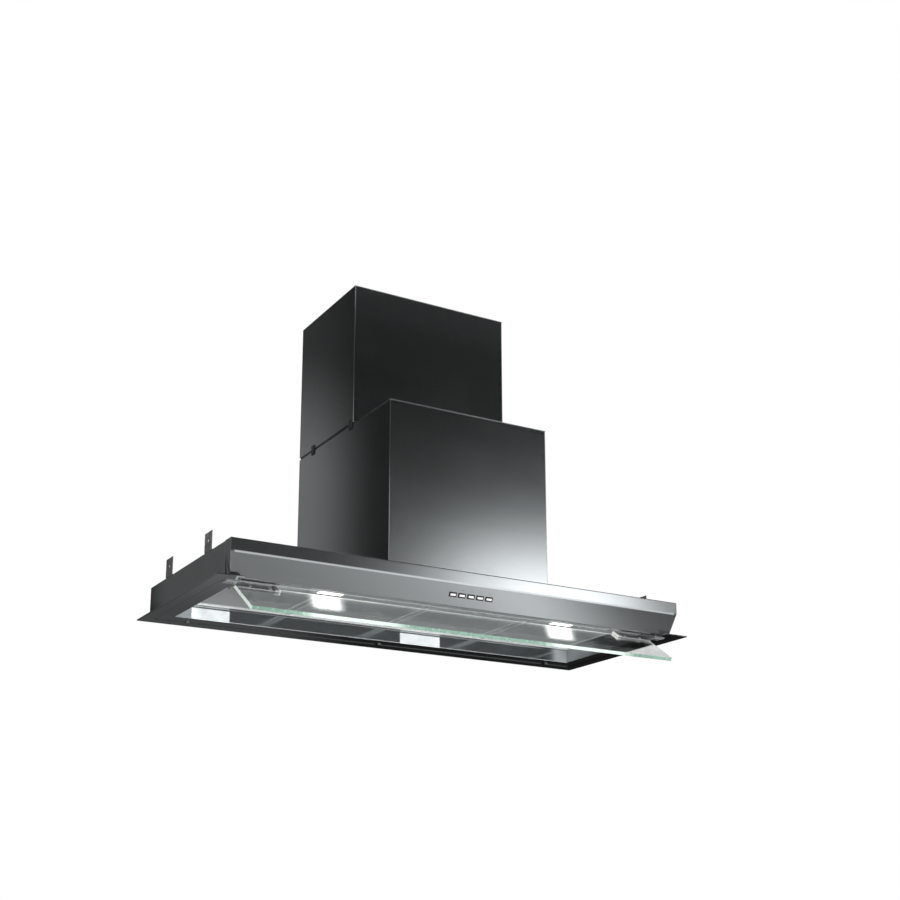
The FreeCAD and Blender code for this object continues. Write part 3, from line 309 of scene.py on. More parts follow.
def brushing_group():
    """Fine brushed lines along one direction, with broad bands under them."""
    tree, given, out = shader_group(
        "brushing", {"Streak": 5.0, "Lines": 1600.0, "Bands": 26.0}, "Shade", "Height")
    streak, lines, bands = given["Streak"], given["Lines"], given["Bands"]
    fine = noise(tree, stretched(tree, given["Place"], streak, lines, lines), 1.0, 2.0, Roughness=0.6)
    broad = noise(tree, stretched(tree, given["Place"], times(tree, streak, 0.3), bands, bands), 1.0, 3.0)
    plug(tree, out["Shade"], plus(tree, times(tree, fine, 0.65), times(tree, broad, 0.35)))
    plug(tree, out["Height"], fine)
    return tree


def smudge_group():
    """Cloudy marks left by hands and wiping."""
    tree, given, out = shader_group("wiping marks", {"Size": 9.0, "Amount": 0.5}, "Mask")
    cloud = noise(tree, given["Place"], given["Size"], 5.0, Roughness=0.62, Distortion=0.4)
    plug(tree, out["Mask"], times(tree, ramp(tree, cloud, 0.45, 0.72), given["Amount"]))
    return tree


def spangle_group():
    """The crystal patches of hot-dipped zinc."""
    tree, given, out = shader_group("zinc spangle", {"Size": 110.0}, "Shade", "Height")
    cells = grow(tree, "ShaderNodeTexVoronoi", Vector=given["Place"], Scale=given["Size"])
    tone = grow(tree, "ShaderNodeSeparateColor", Color=cells.outputs["Color"]).outputs[0]
    mottle = noise(tree, given["Place"], 45.0, 4.0)
    plug(tree, out["Shade"], plus(tree, times(tree, tone, 0.55), times(tree, mottle, 0.45)))
    plug(tree, out["Height"], cells.outputs["Distance"])
    return tree


def moulded_group():
    """The fine pebbled skin of moulded plastic, with faint dust on it."""
    tree, given, out = shader_group("moulded skin", {"Pebble": 1400.0}, "Dust", "Height")
    dust = noise(tree, given["Place"], 70.0, 6.0, Roughness=0.7)
    plug(tree, out["Dust"], ramp(tree, dust, 0.5, 0.8))
    plug(tree, out["Height"], noise(tree, given["Place"], given["Pebble"], 1.0))
    return tree


GROUPS = {
    "brushing": brushing_group(),
    "smudge": smudge_group(),
    "spangle": spangle_group(),
    "moulded": moulded_group(),
}


def effect(tree, name, turn=(0.0, 0.0, 0.0), **inputs):
    """Places one of the shared effects in a material."""
    return grow(tree, "ShaderNodeGroup", {"node_tree": GROUPS[name]}, Place=place(tree, turn=turn),
                **inputs).outputs


def place(tree, scale=(1.0, 1.0, 1.0), turn=(0.0, 0.0, 0.0)):
    """Object coordinates, scaled and turned."""
    here = tree.nodes.new("ShaderNodeTexCoord").outputs["Object"]
    return grow(tree, "ShaderNodeMapping", Vector=here, Scale=scale, Rotation=turn).outputs[0]


def split(tree, axes):
    """The Object coordinates that the axes name."""
    here = tree.nodes.new("ShaderNodeTexCoord").outputs["Object"]
    spot = grow(tree, "ShaderNodeSeparateXYZ", Vector=here).outputs
    return [spot[axis] for axis in axes]


def distance(tree, axis):
    """How far a place is from the zero of an axis."""
    return maths(tree, "ABSOLUTE", *split(tree, axis))


def paint(name, metallic=0.0, **fixed):
    """A material with one Principled shader; returns the material, its tree and the shader."""
    material = bpy.data.materials.new(name)
    material.use_nodes = True
    shader = material.node_tree.nodes["Principled BSDF"]
    feed(material.node_tree, shader, Metallic=metallic, **fixed)
    return material, material.node_tree, shader


def roughen(tree, shader, height, strength, distance):
    """Bumps the surface by a height."""
    bump = grow(tree, "ShaderNodeBump", Height=height, Strength=strength, Distance=distance)
    feed(tree, shader, Normal=bump.outputs[0])


def tint(colour, factor):
    """A darker or lighter colour of the same hue."""
    return tuple(min(1.0, channel * factor) for channel in colour)


def brushed_steel(name, colour, roughness, turn=(0.0, 0.0, 0.0), contrast=0.07, depth=0.02, bands=(),
                  blur=0.0004):
    """Steel sheet brushed along X, or as turned.

    A band is (axis, start, end, factor, metallic): between two distances from the axis' zero the sheet
    is darker or paler by the factor, and as metallic as the last number says. Its edges are blurred.
    Bands draw dark seams, and also painted highlights and painted shade.
    """
    material, tree, shader = paint(name)
    lines = effect(tree, "brushing", turn)
    marks = effect(tree, "smudge", Size=7.0, Amount=0.5)["Mask"]
    base = blend_colours(tree, lines["Shade"], tint(colour, 1.0 - contrast), tint(colour, 1.0 + contrast))
    wear_and_painted_light = blend_colours(tree, marks, base, tint(colour, 0.93))
    metal = 1.0
    # Each band paints a dark seam, a painted highlight or painted shade over the wiping marks.
    for axis, start, end, factor, metallic in bands:
        away = distance(tree, axis)
        within = faded(tree, (away, start - blur, start + blur), (away, end + blur, end - blur))
        wear_and_painted_light = blend_colours(tree, within, wear_and_painted_light, tint(colour, factor))
        metal = mapped(tree, within, metallic - 1.0, metal)
    rough = mapped(tree, lines["Shade"], 0.06, roughness - 0.03)
    feed(tree, shader, Base_Color=wear_and_painted_light, Metallic=metal,
         Roughness=mapped(tree, marks, 0.04, rough))
    roughen(tree, shader, lines["Height"], depth, 0.00006)
    return material


def zinc(name, colour, roughness=0.42):
    """Galvanised sheet."""
    material, tree, shader = paint(name, 1.0)
    crystals = effect(tree, "spangle", Size=120.0)
    marks = effect(tree, "smudge", Size=16.0, Amount=0.7)["Mask"]
    rough = plus(tree, times(tree, crystals["Shade"], 0.2), times(tree, marks, 0.15), roughness - 0.1)
    feed(tree, shader, Roughness=rough,
         Base_Color=blend_colours(tree, crystals["Shade"], tint(colour, 0.72), tint(colour, 1.18)))
    roughen(tree, shader, crystals["Height"], 0.12, 0.0002)
    return material


def plastic(name, colour, roughness, pebble=1400.0, depth=0.00004, dust=0.06, **fixed):
    """Moulded plastic with a fine skin and faint dust."""
    material, tree, shader = paint(name, **fixed)
    skin = effect(tree, "moulded", Pebble=pebble)
    dusty = times(tree, skin["Dust"], dust)
    feed(tree, shader, Base_Color=blend_colours(tree, dusty, colour, (0.55, 0.53, 0.50)),
         Roughness=plus(tree, dusty, roughness))
    roughen(tree, shader, skin["Height"], 0.25, depth)
    return material


def painted_metal(name, colour, roughness):
    """Stoved paint with orange peel."""
    material, tree, shader = paint(name, Coat_Weight=0.3, Coat_Roughness=0.15)
    dust = effect(tree, "moulded", Pebble=600.0)["Dust"]
    feed(tree, shader, Base_Color=blend_colours(tree, times(tree, dust, 0.2), colour, (0.5, 0.48, 0.45)),
         Roughness=mapped(tree, dust, 0.2, roughness))
    roughen(tree, shader, noise(tree, place(tree), 420.0, 2.0), 0.3, 0.0002)
    return material


def mesh_metal(name, colour, roughness, metallic=1.0, **fixed):
    """Cut and stretched aluminium, dull with use."""
    material, tree, shader = paint(name, metallic, **fixed)
    here = place(tree)
    grime = ramp(tree, noise(tree, here, 26.0, 6.0, Roughness=0.7), 0.35, 0.75)
    feed(tree, shader, Base_Color=blend_colours(tree, grime, tint(colour, 1.04), tint(colour, 0.92)),
         Roughness=mapped(tree, grime, 0.15, roughness))
    roughen(tree, shader, noise(tree, here, 900.0, 2.0), 0.3, 0.0002)
    return material


def backing_mesh(name, colour):
    """The inner layers of the filter pack: a dark ground with finer bright cells on it."""
    material, tree, shader = paint(name, 1.0)
    cells = grow(tree, "ShaderNodeTexVoronoi", {"feature": "DISTANCE_TO_EDGE"}, Scale=1.0, Randomness=0.35,
                 Vector=place(tree, scale=(300.0, 440.0, 300.0)))
    wire = ramp(tree, cells.outputs["Distance"], 0.16, 0.05)
    feed(tree, shader, Base_Color=blend_colours(tree, wire, tint(colour, 0.22), tint(colour, 0.95)),
         Roughness=mapped(tree, wire, -0.15, 0.55))
    roughen(tree, shader, wire, 0.5, 0.0004)
    return material


def clear_glass():
    """The clear faces of the pane, with a faint film."""
    material, tree, shader = paint(
        "clear glass", Base_Color=(0.97, 0.995, 0.985), IOR=1.5, Transmission_Weight=1.0)
    feed(tree, shader, Roughness=effect(tree, "smudge", Size=5.0, Amount=0.02)["Mask"])
    return material


def glass_edge(colour):
    """The greenish ground edges of the pane, with a painted glow beside the lamps, along the top and at the
    ends.
    """
    material, tree, shader = paint(
        "ground glass edge", IOR=1.5, Transmission_Weight=0.35, Emission_Strength=0.6)
    side = distance(tree, "X")
    # A painted glow: emission in the edges beside the lamps, along the top and at the ends.
    near_lamp = faded(tree, (side, 0.120, 0.165), (side, 0.325, 0.285))
    upper = times(tree, ramp(tree, *split(tree, "Y"), -0.330, -0.318), 0.55)
    ends = times(tree, ramp(tree, side, 0.3970, 0.3985), 0.8)
    lit = maths(tree, "MAXIMUM", near_lamp, maths(tree, "MAXIMUM", upper, ends))
    grind = times(tree, noise(tree, place(tree), 90.0, 2.0), 0.5)
    feed(tree, shader, Base_Color=blend_colours(tree, grind, colour, tint(colour, 1.15)), Roughness=grind,
         Emission_Color=blend_colours(tree, lit, tint(colour, 0.15), (1.0, 1.0, 0.98)))
    return material


def lens_material(strength):
    """Frosted lens, brightest over its tube."""
    material, tree, shader = paint(
        "lamp lens", Base_Color=(0.95, 0.94, 0.90), Roughness=0.45, Emission_Strength=strength)
    ribs = grow(tree, "ShaderNodeTexWave", {"wave_type": "BANDS", "bands_direction": "X"},
                Vector=place(tree), Scale=160.0)
    middle = maths(tree, "ABSOLUTE", plus(tree, *split(tree, "Y"), -TUBE_LINE))
    core = ramp(tree, middle, 0.0075, 0.002)
    feed(tree, shader, Emission_Color=blend_colours(tree, core, (0.75, 0.72, 0.64), (1.0, 0.98, 0.93)))
    roughen(tree, shader, ribs.outputs["Fac"], 0.4, 0.0004)
    return material


def cap_material():
    """Pale translucent plastic with a painted glow at its inner end, beside the lamp."""
    material = plastic("clamp cap", (0.58, 0.58, 0.57), 0.3, Emission_Strength=0.55)
    tree = material.node_tree
    inner_end = islands("clamp_end_caps")[-1][0].x
    side = distance(tree, "X")
    # The glow at the inner end is painted light.
    lit = ramp(tree, side, inner_end + 0.0026, inner_end + 0.0006)
    feed(tree, tree.nodes["Principled BSDF"],
         Emission_Color=blend_colours(tree, lit, (0.0, 0.0, 0.0), (1.0, 1.0, 0.98)))
    return material


PAINTS = {}


def mix_paints():
    """Makes every material once, from the scene's finishes."""
    given = bpy.context.scene.hood_finishes
    steel, inner, rough = tuple(given.steel), tuple(given.inner_steel), given.steel_roughness
    mesh = tuple(given.mesh_metal)
    smooth = {"contrast": 0.04, "depth": 0.35}
    PAINTS.update({
        "satin": brushed_steel("satin steel", steel, rough),
        "rim": brushed_steel("rim steel", inner, rough + 0.03, contrast=0.05),
        "rim_side": brushed_steel(
            "rim steel brushed front to back", inner, rough - 0.05, turn=(0.0, 0.0, pi / 2), contrast=0.05,
            bands=(("X", 0.4272, 0.4290, 0.3, 1.0), ("X", 0.4470, 0.4482, 0.3, 1.0))),
        # The rear rim is paler along its inner and its outer edge: painted highlights. The dark line between
        # them is the hem's seam.
        "rim_rear": brushed_steel("rear rim steel", inner, rough + 0.03, contrast=0.05, bands=(
            ("Y", 0.0590, 0.0610, 1.5, 0.45), ("Y", 0.0265, 0.0285, 0.25, 1.0),
            ("Y", -0.001, 0.0012, 1.2, 0.6))),
        # The ledge is paler along its front edge, a painted highlight, and darker behind it, painted shade.
        "ledge": brushed_steel("ledge steel", inner, rough, contrast=0.05, bands=(
            ("Y", 0.0655, 0.0710, 1.9, 0.2), ("Y", 0.0550, 0.0655, 0.35, 1.0))),
        "rail": brushed_steel("lamp rail steel", tint(inner, 1.3), rough + 0.1, contrast=0.06, bands=(
            ("X", -0.001, 0.5, 1.3, 0.55),)),
        # The front panel is darker over the flange under its face: painted shade.
        "front": brushed_steel("front panel steel", steel, rough, contrast=0.10, bands=(
            ("Y", 0.3380, 0.3538, 0.45, 1.0),)),
        # The recess walls' steel is darker than the rim's: painted shade. The right wall is paler over its
        # rear part, and the rear wall at both ends: painted light.
        "side_wall": brushed_steel("side wall steel", tint(inner, 0.35), 0.12, **smooth, blur=0.03, bands=(
            ("Y", 0.0, 0.150, 2.5, 0.4),)),
        "rear_wall": brushed_steel("rear wall steel", tint(inner, 0.66), 0.09, **smooth, blur=0.012, bands=(
            ("X", 0.368, 0.450, 1.9, 0.4),)),
        "polished": brushed_steel("polished steel", tint(inner, 0.66), 0.09, **smooth),
        "zinc": zinc("galvanised sheet", (0.56, 0.57, 0.57)),
        "scroll": zinc("galvanised blower sheet", (0.52, 0.53, 0.53), 0.46),
        "filter_rim": mesh_metal("filter frame aluminium", tint(mesh, 1.2), 0.30, 0.5),
        "strand": mesh_metal("filter mesh aluminium", mesh, 0.36, 0.25),
        # The lip's emission is a painted glow, a painted highlight along the rolled lip.
        "lip": mesh_metal("rolled aluminium lip", (0.80, 0.82, 0.83), 0.2, 0.5,
                          Emission_Color=(0.85, 0.93, 0.92), Emission_Strength=0.28),
        "backing": backing_mesh("filter pack", mesh),
        "latch": plastic("latch plastic", (0.035, 0.035, 0.037), 0.42),
        "clear": clear_glass(),
        "edge": glass_edge(tuple(given.glass_edge)),
        "clamp": brushed_steel("clamp steel", (0.40, 0.41, 0.415), 0.20, contrast=0.04, bands=(
            ("X", -0.001, 0.5, 1.0, 0.35),)),
        "cap": cap_material(),
        "screw": mesh_metal("bright screw steel", (0.66, 0.65, 0.63), 0.22),
        "lamp_body": plastic("lamp body", (0.62, 0.62, 0.60), 0.4, dust=0.1),
        "lens": lens_material(given.lamp_glow),
        "button": plastic("button cap", tuple(given.button), 0.22, depth=0.00001, dust=0.03, Coat_Weight=0.4),
        "black": plastic("black plastic", (0.022, 0.022, 0.024), 0.38),
        "fan": plastic("fan plastic", (0.050, 0.052, 0.056), 0.45),
        "motor": painted_metal("motor paint", (0.032, 0.033, 0.036), 0.38),
        "capacitor": plastic("capacitor shell", (0.78, 0.78, 0.76), 0.3, pebble=500.0),
    })


def link(name, data):
    """Puts a mesh, a light or a camera in the scene as an object at the origin."""
    piece = bpy.data.objects.new(name, data)
    bpy.context.scene.collection.objects.link(piece)
    return piece


def hide(piece, *rays):
    """Hides an object from kinds of rays."""
    for ray in rays:
        setattr(piece, "visible_" + ray, False)


def settle(piece, body, nodes):
    """Puts a finished piece on its body, standing for the given CAD nodes."""
    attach(piece, body)
    if nodes:
        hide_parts(*nodes)


def copied(node):
    """A CAD node's triangles, welded."""
    mesh = bmesh.new()
    mesh.from_mesh(frame["nodes"][node].data)
    bmesh.ops.remove_doubles(mesh, verts=mesh.verts, dist=WELD)
    return mesh


def welded(node):
    """A CAD node's triangles, joined into flat faces unless a face has a hole in it."""
    for join in (True, False):
        mesh = copied(node)
        area = sum(face.calc_area() for face in mesh.faces)
        if join:
            bmesh.ops.dissolve_limit(mesh, angle_limit=FLAT, verts=mesh.verts, edges=mesh.edges)
        bmesh.ops.recalc_face_normals(mesh, faces=mesh.faces)
        if abs(sum(face.calc_area() for face in mesh.faces) - area) < area * 1e-5:
            return mesh
        mesh.free()
    raise RuntimeError("the welded copy doesn't match " + node)


def breadth(face, edge):
    """How far a face reaches from one of its edges."""
    start = edge.verts[0].co
    along = (edge.verts[1].co - start).normalized()
    return max((vert.co - start - along * (vert.co - start).dot(along)).length for vert in face.verts)


def is_fold(edge):
    """Whether an edge is a sheet's fold: long and convex, between two wide faces."""
    return (edge.calc_length() >= LEAST_FOLD_LENGTH and len(edge.link_faces) == 2 and edge.is_convex
            and edge.calc_face_angle(0.0) >= LEAST_FOLD
            and all(breadth(face, edge) > LEAST_FOLD_FACE for face in edge.link_faces))


def round_folds(mesh, radius):
    """Rounds the outer side of a sheet's folds."""
    mesh.normal_update()
    folds = [edge for edge in mesh.edges if is_fold(edge)]
    if folds:
        made = bmesh.ops.bevel(mesh, geom=folds, offset=radius, segments=5, profile=0.5, affect="EDGES")
        rounded = set(made["faces"])
        for face in rounded:
            for edge in face.edges:
                if any(other not in rounded for other in edge.link_faces):
                    edge.smooth = False


def keep(mesh, name, paints, body, nodes=(), soften=0.0, segments=2):
    """Turns a bmesh into a finished piece on a body, standing for the given CAD nodes."""
    for edge in mesh.edges:
        if edge.calc_face_angle(pi) > SHARP:
            edge.smooth = False
    for face in mesh.faces:
        face.smooth = True
    data = bpy.data.meshes.new(name)
    mesh.to_mesh(data)
    mesh.free()
    for key in paints:
        data.materials.append(PAINTS[key])
    piece = link(name, data)
    if soften:
        edge = piece.modifiers.new("soft edges", "BEVEL")
        edge.width = soften
        edge.segments = segments
        edge.limit_method = "ANGLE"
        edge.angle_limit = SHARP
        edge.harden_normals = True
    settle(piece, body, nodes)


def body_of(node):
    """The body that a CAD node rides on."""
    return frame["nodes"][node]["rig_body"]


def dress(node, *paints, mesh=None, soften=0.0003, fold=0.0, segments=2):
    """Replaces a CAD node by a mesh, or a welded copy with rounded folds, with softened edges."""
    mesh = mesh or welded(node)
    if fold:
        round_folds(mesh, fold)
    keep(mesh, node + "_finished", paints, body_of(node), [node], soften, segments)


def recoat(key, *nodes):
    """Gives CAD nodes that stay a better material."""
    for node in nodes:
        data = frame["nodes"][node].data
        for index in range(len(data.materials)):
            data.materials[index] = PAINTS[key]


def islands(node):
    """The boxes of a node's separate solids, as (lowest, highest) corners."""
    mesh = copied(node)
    left = set(mesh.verts)
    boxes = []
    for seed in mesh.verts:
        if seed not in left:
            continue
        left.discard(seed)
        group = [seed]
        for vert in group:
            for edge in vert.link_edges:
                other = edge.other_vert(vert)
                if other in left:
                    left.discard(other)
                    group.append(other)
        boxes.append([Vector([pick(vert.co[i] for vert in group) for i in range(3)]) for pick in (min, max)])
    mesh.free()
    return sorted(boxes, key=lambda pair: tuple(pair[0]))


def growth_tree(name, sizes):
    """Starts a Geometry Nodes tree with named inputs and a material."""
    inputs = [("Geometry", GEOMETRY, None)]
    for label, value in sizes.items():
        inputs.append((label, VECTOR if isinstance(value, tuple) else NUMBER, value))
    inputs.append(("Material", "NodeSocketMaterial", None))
    tree, given, out = start_tree("GeometryNodeTree", name, inputs, [("Geometry", GEOMETRY)])
    tree.is_modifier = True
    return tree, given, out


def close_tree(tree, given, out, geometry):
    """Ends a tree: instances made real, and painted. Returns the tree."""
    real = grow(tree, "GeometryNodeRealizeInstances", Geometry=geometry)
    painted = grow(tree, "GeometryNodeSetMaterial", Geometry=real.outputs[0], Material=given["Material"])
    plug(tree, out["Geometry"], painted.outputs[0])
    return tree


def moved(tree, geometry, **how):
    """Geometry moved, turned or scaled."""
    return grow(tree, "GeometryNodeTransform", Geometry=geometry, **how).outputs[0]


def joined(tree, parts):
    """Geometry of several parts as one."""
    pile = tree.nodes.new("GeometryNodeJoinGeometry")
    for part in parts:
        tree.links.new(part, pile.inputs[0])
    return pile.outputs[0]


def run_tree(name, tree, values, body, points=None, nodes=(), smooth=35.0):
    """Runs a tree and keeps what it makes as one plain mesh piece."""
    data = bpy.data.meshes.new(name)
    if points:
        data.from_pydata(points, [], [])
    piece = link(name, data)
    growth = piece.modifiers.new("growth", "NODES")
    growth.node_group = tree
    for item in tree.interface.items_tree:
        if item.in_out == "INPUT" and item.name in values:
            growth[item.identifier] = values[item.name]
    bpy.context.view_layer.update()
    graph = bpy.context.evaluated_depsgraph_get()
    made = bpy.data.meshes.new_from_object(piece.evaluated_get(graph), preserve_all_data_layers=True,
                                           depsgraph=graph)
    piece.modifiers.remove(growth)
    piece.data = made
    bpy.data.meshes.remove(data)
    made.name = name
    if not made.polygons:
        raise RuntimeError("the tree made nothing for " + name)
    made.shade_smooth()
    made.set_sharp_from_angle(angle=radians(smooth))
    settle(piece, body, nodes)


def lattice_tree():
    """A sheet of crossed strands, one pair of crossing strands in each cell."""
    tree, given, out = growth_tree("filter lattice", {
        "Middle": (0.0, 0.0, 0.0), "Width": 0.18, "Depth": 0.2, "Cell Width": 0.007, "Cell Depth": 0.0045,
        "Strand Width": 0.001, "Strand Height": 0.0008})
    columns = maths(tree, "ROUND", maths(tree, "DIVIDE", given["Width"], given["Cell Width"]))
    rows = maths(tree, "ROUND", maths(tree, "DIVIDE", given["Depth"], given["Cell Depth"]))
    wide = maths(tree, "DIVIDE", given["Width"], columns)
    deep = maths(tree, "DIVIDE", given["Depth"], rows)
    grid = grow(tree, "GeometryNodeMeshGrid", Size_X=maths(tree, "SUBTRACT", given["Width"], wide),
                Size_Y=maths(tree, "SUBTRACT", given["Depth"], deep), Vertices_X=columns, Vertices_Y=rows)
    span = maths(tree, "SQRT", plus(tree, times(tree, wide, wide), times(tree, deep, deep)))
    lean = maths(tree, "ARCTAN2", deep, wide)
    strands = []
    for side in (1.0, -1.0):
        size = vector(tree, span, given["Strand Width"], given["Strand Height"])
        bar = grow(tree, "GeometryNodeMeshCube", Size=size).outputs["Mesh"]
        lift = vector(tree, z=times(tree, given["Strand Height"], side * STRAND_SHIFT))
        strands.append(moved(tree, bar, Translation=lift, Rotation=vector(tree, z=times(tree, lean, side))))
    cells = grow(tree, "GeometryNodeInstanceOnPoints", Points=grid.outputs["Mesh"],
                 Instance=joined(tree, strands))
    return close_tree(tree, given, out, moved(tree, cells.outputs[0], Translation=given["Middle"]))


def lip_tree():
    """A rolled lip round a rectangular opening."""
    tree, given, out = growth_tree("rolled lip", {
        "Middle": (0.0, 0.0, 0.0), "Width": 0.18, "Depth": 0.2, "Lip Radius": 0.0009, "Corner Radius": 0.003})
    loop = grow(tree, "GeometryNodeCurvePrimitiveQuadrilateral", Width=given["Width"], Height=given["Depth"])
    eased = grow(tree, "GeometryNodeFilletCurve", {"mode": "POLY"}, Curve=loop.outputs[0], Count=4,
                 Radius=given["Corner Radius"])
    profile = grow(tree, "GeometryNodeCurvePrimitiveCircle", Resolution=10, Radius=given["Lip Radius"])
    swept = grow(tree, "GeometryNodeCurveToMesh", Curve=eased.outputs[0], Profile_Curve=profile.outputs[0])
    return close_tree(tree, given, out, moved(tree, swept.outputs[0], Translation=given["Middle"]))


def screw_tree():
    """Pan heads with a cross recess, one on each point, facing down."""
    tree, given, out = growth_tree("pan screws", {
        "Head Radius": 0.0036, "Head Height": 0.0018, "Recess Length": 0.0036, "Recess Width": 0.0008})
    height, length, width = given["Head Height"], given["Recess Length"], given["Recess Width"]
    ball = grow(tree, "GeometryNodeMeshUVSphere", Segments=24, Rings=12, Radius=1.0).outputs["Mesh"]
    dome = moved(tree, ball, Scale=vector(tree, given["Head Radius"], given["Head Radius"], height))
    cutters = []
    for x, y in ((length, width), (width, length)):
        block = grow(tree, "GeometryNodeMeshCube", Size=vector(tree, x, y, height)).outputs["Mesh"]
        cutters.append(moved(tree, block, Translation=vector(tree, z=height)))
    recess = grow(tree, "GeometryNodeMeshBoolean", {"operation": "DIFFERENCE"})
    plug(tree, recess.inputs[0], dome)
    plug(tree, recess.inputs[1], joined(tree, cutters))
    aim = grow(tree, "FunctionNodeAlignRotationToVector", {"axis": "Z"}, Vector=(0.0, 0.0, -1.0))
    heads = grow(tree, "GeometryNodeInstanceOnPoints", Points=given["Geometry"],
                 Instance=recess.outputs["Mesh"], Rotation=aim.outputs[0])
    return close_tree(tree, given, out, heads.outputs[0])


class HOOD_OT_paints(bpy.types.Operator):
    """Mix the materials"""

    bl_idname = "hood.paints"
    bl_label = "Materials"

    def execute(self, context):
        mix_paints()
        return {"FINISHED"}


class HOOD_OT_front(bpy.types.Operator):
    """Finish the folded front panel and the cheeks at its ends"""

    bl_idname = "hood.front"
    bl_label = "Front panel"

    def execute(self, context):
        dress("front_panel", "front", soften=0.00025, fold=context.scene.hood_sizes.bend_radius)
        dress("front_end_caps", "satin", soften=0.0004)
        return {"FINISHED"}


class HOOD_OT_canopy(bpy.types.Operator):
    """Finish the canopy, the rim and the walls of the recess"""

    bl_idname = "hood.canopy"
    bl_label = "Canopy and rim"

    def execute(self, context):
        sizes = context.scene.hood_sizes
        dress("canopy_shell", "rim", fold=sizes.bend_radius)
        for side, key in (("left", "rim_side"), ("right", "rim_side"), ("rear", "rim_rear")):
            dress("rim_rail_" + side, key, soften=0.0005)
        for side, key in (("left", "polished"), ("right", "side_wall"), ("rear", "rear_wall")):
            dress("inner_wall_" + side, key)
        dress("lamp_rail", "rail", fold=sizes.bend_radius / 2)
        dress("rear_filter_ledge", "ledge", soften=0.0007, segments=3)
        dress("side_brackets", "zinc")
        rear, feet = [], []
        for low, high in islands("rim_screws"):
            middle = (low + high) / 2
            if middle.y > HINGE_FEET_LINE:
                rear.append((middle.x, middle.y, low.z + REAR_SCREW_SINK))
            else:
                feet.append((middle.x, middle.y, high.z))
        measures = {label: sizes.screw_radius * share for label, share in SCREW_SHARES.items()}
        run_tree("rim_pan_screws", screw_tree(), {
            "Head Radius": sizes.screw_radius, **measures, "Material": PAINTS["screw"],
        }, "hood", rear + feet, ["rim_screws"])
        return {"FINISHED"}


class HOOD_OT_filters(bpy.types.Operator):
    """Finish the grease filters: frames, packs, stretched mesh and latches"""

    bl_idname = "hood.filters"
    bl_label = "Grease filters"

    def execute(self, context):
        sizes = context.scene.hood_sizes
        lip = sizes.lip_radius
        height = sizes.strand * STRAND_HEIGHT
        lattice, rolled = lattice_tree(), lip_tree()
        for number in FILTERS:
            frame_node, mesh_node = "filter_frame_%d" % number, "filter_mesh_%d" % number
            dress(frame_node, "filter_rim", soften=0.0013, segments=4)
            recoat("backing", mesh_node)
            dress("filter_latch_%d" % number, "latch", soften=0.0004)
            low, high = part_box(mesh_node)
            x, y = (low.x + high.x) / 2, (low.y + high.y) / 2
            run_tree("filter_lattice_%d" % number, lattice, {
                "Middle": Vector((x, y, low.z - height * LATTICE_DROP)),
                "Width": high.x - low.x, "Depth": high.y - low.y,
                "Cell Width": sizes.cell_width, "Cell Depth": sizes.cell_depth,
                "Strand Width": sizes.strand, "Strand Height": height,
                "Material": PAINTS["strand"],
            }, body_of(mesh_node))
            run_tree("filter_lip_%d" % number, rolled, {
                "Middle": Vector((x, y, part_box(frame_node)[0].z + lip * LIP_RISE)),
                "Width": high.x - low.x - lip, "Depth": high.y - low.y - lip,
                "Lip Radius": lip, "Corner Radius": lip * LIP_CORNER,
                "Material": PAINTS["lip"],
            }, body_of(mesh_node), smooth=60.0)
        return {"FINISHED"}


class HOOD_OT_lamps(bpy.types.Operator):
    """Finish the two lamps and light them"""

    bl_idname = "hood.lamps"
    bl_label = "Lamps"

    def execute(self, context):
        dress("lamp_housings", "lamp_body")
        dress("lamp_lenses", "lens", soften=0.0004)
        for number, (low, high) in enumerate(islands("lamp_lenses"), 1):
            data = bpy.data.lights.new("tube_glow_%d" % number, "AREA")
            data.shape = "RECTANGLE"
            data.size = high.x - low.x + POOL_MARGIN
            data.size_y = POOL_DEPTH
            data.energy = POOL_POWER
            data.use_nodes = True
            tree = data.node_tree
            across = tree.nodes.new("ShaderNodeNewGeometry").outputs["Parametric"]
            spot = grow(tree, "ShaderNodeSeparateXYZ", Vector=across).outputs
            fade = faded(tree, *((spot[axis], start, end) for axis in "XY"
                                 for start, end in ((0.0, POOL_EDGE), (1.0, 1.0 - POOL_EDGE))))
            plug(tree, tree.nodes["Emission"].inputs["Strength"], maths(tree, "POWER", fade, POOL_FADE))
            glow = link("tube_glow_%d" % number, data)
            x, y, z = POOL_OFFSET
            glow.location = ((low.x + high.x) / 2 + x, low.y + y, low.z + z)
            hide(glow, "camera")
        return {"FINISHED"}


class HOOD_OT_glass(bpy.types.Operator):
    """Finish the glass visor with its clamps, bolts and hinges"""

    bl_idname = "hood.glass"
    bl_label = "Glass visor"

    def execute(self, context):
        mesh = welded("glass_panel")
        broad = sorted(mesh.faces, key=lambda face: face.calc_area(), reverse=True)[:2]
        normals = [face.normal.copy() for face in broad]
        for face in mesh.faces:
            face.material_index = int(max(face.normal.dot(each) for each in normals) <= PANE_AGREEMENT)
        keep(mesh, "glass_visor", ["clear", "edge"], "glass", ["glass_panel"], 0.0006)
        dress("glass_clamps", "clamp", soften=0.0005, segments=3)
        dress("clamp_end_caps", "cap", soften=0.0008, segments=3)
        recoat("screw", "glass_clamp_bolts", "hinge_pins")
        dress("hinge_brackets", "clamp", soften=0.0004)
        return {"FINISHED"}


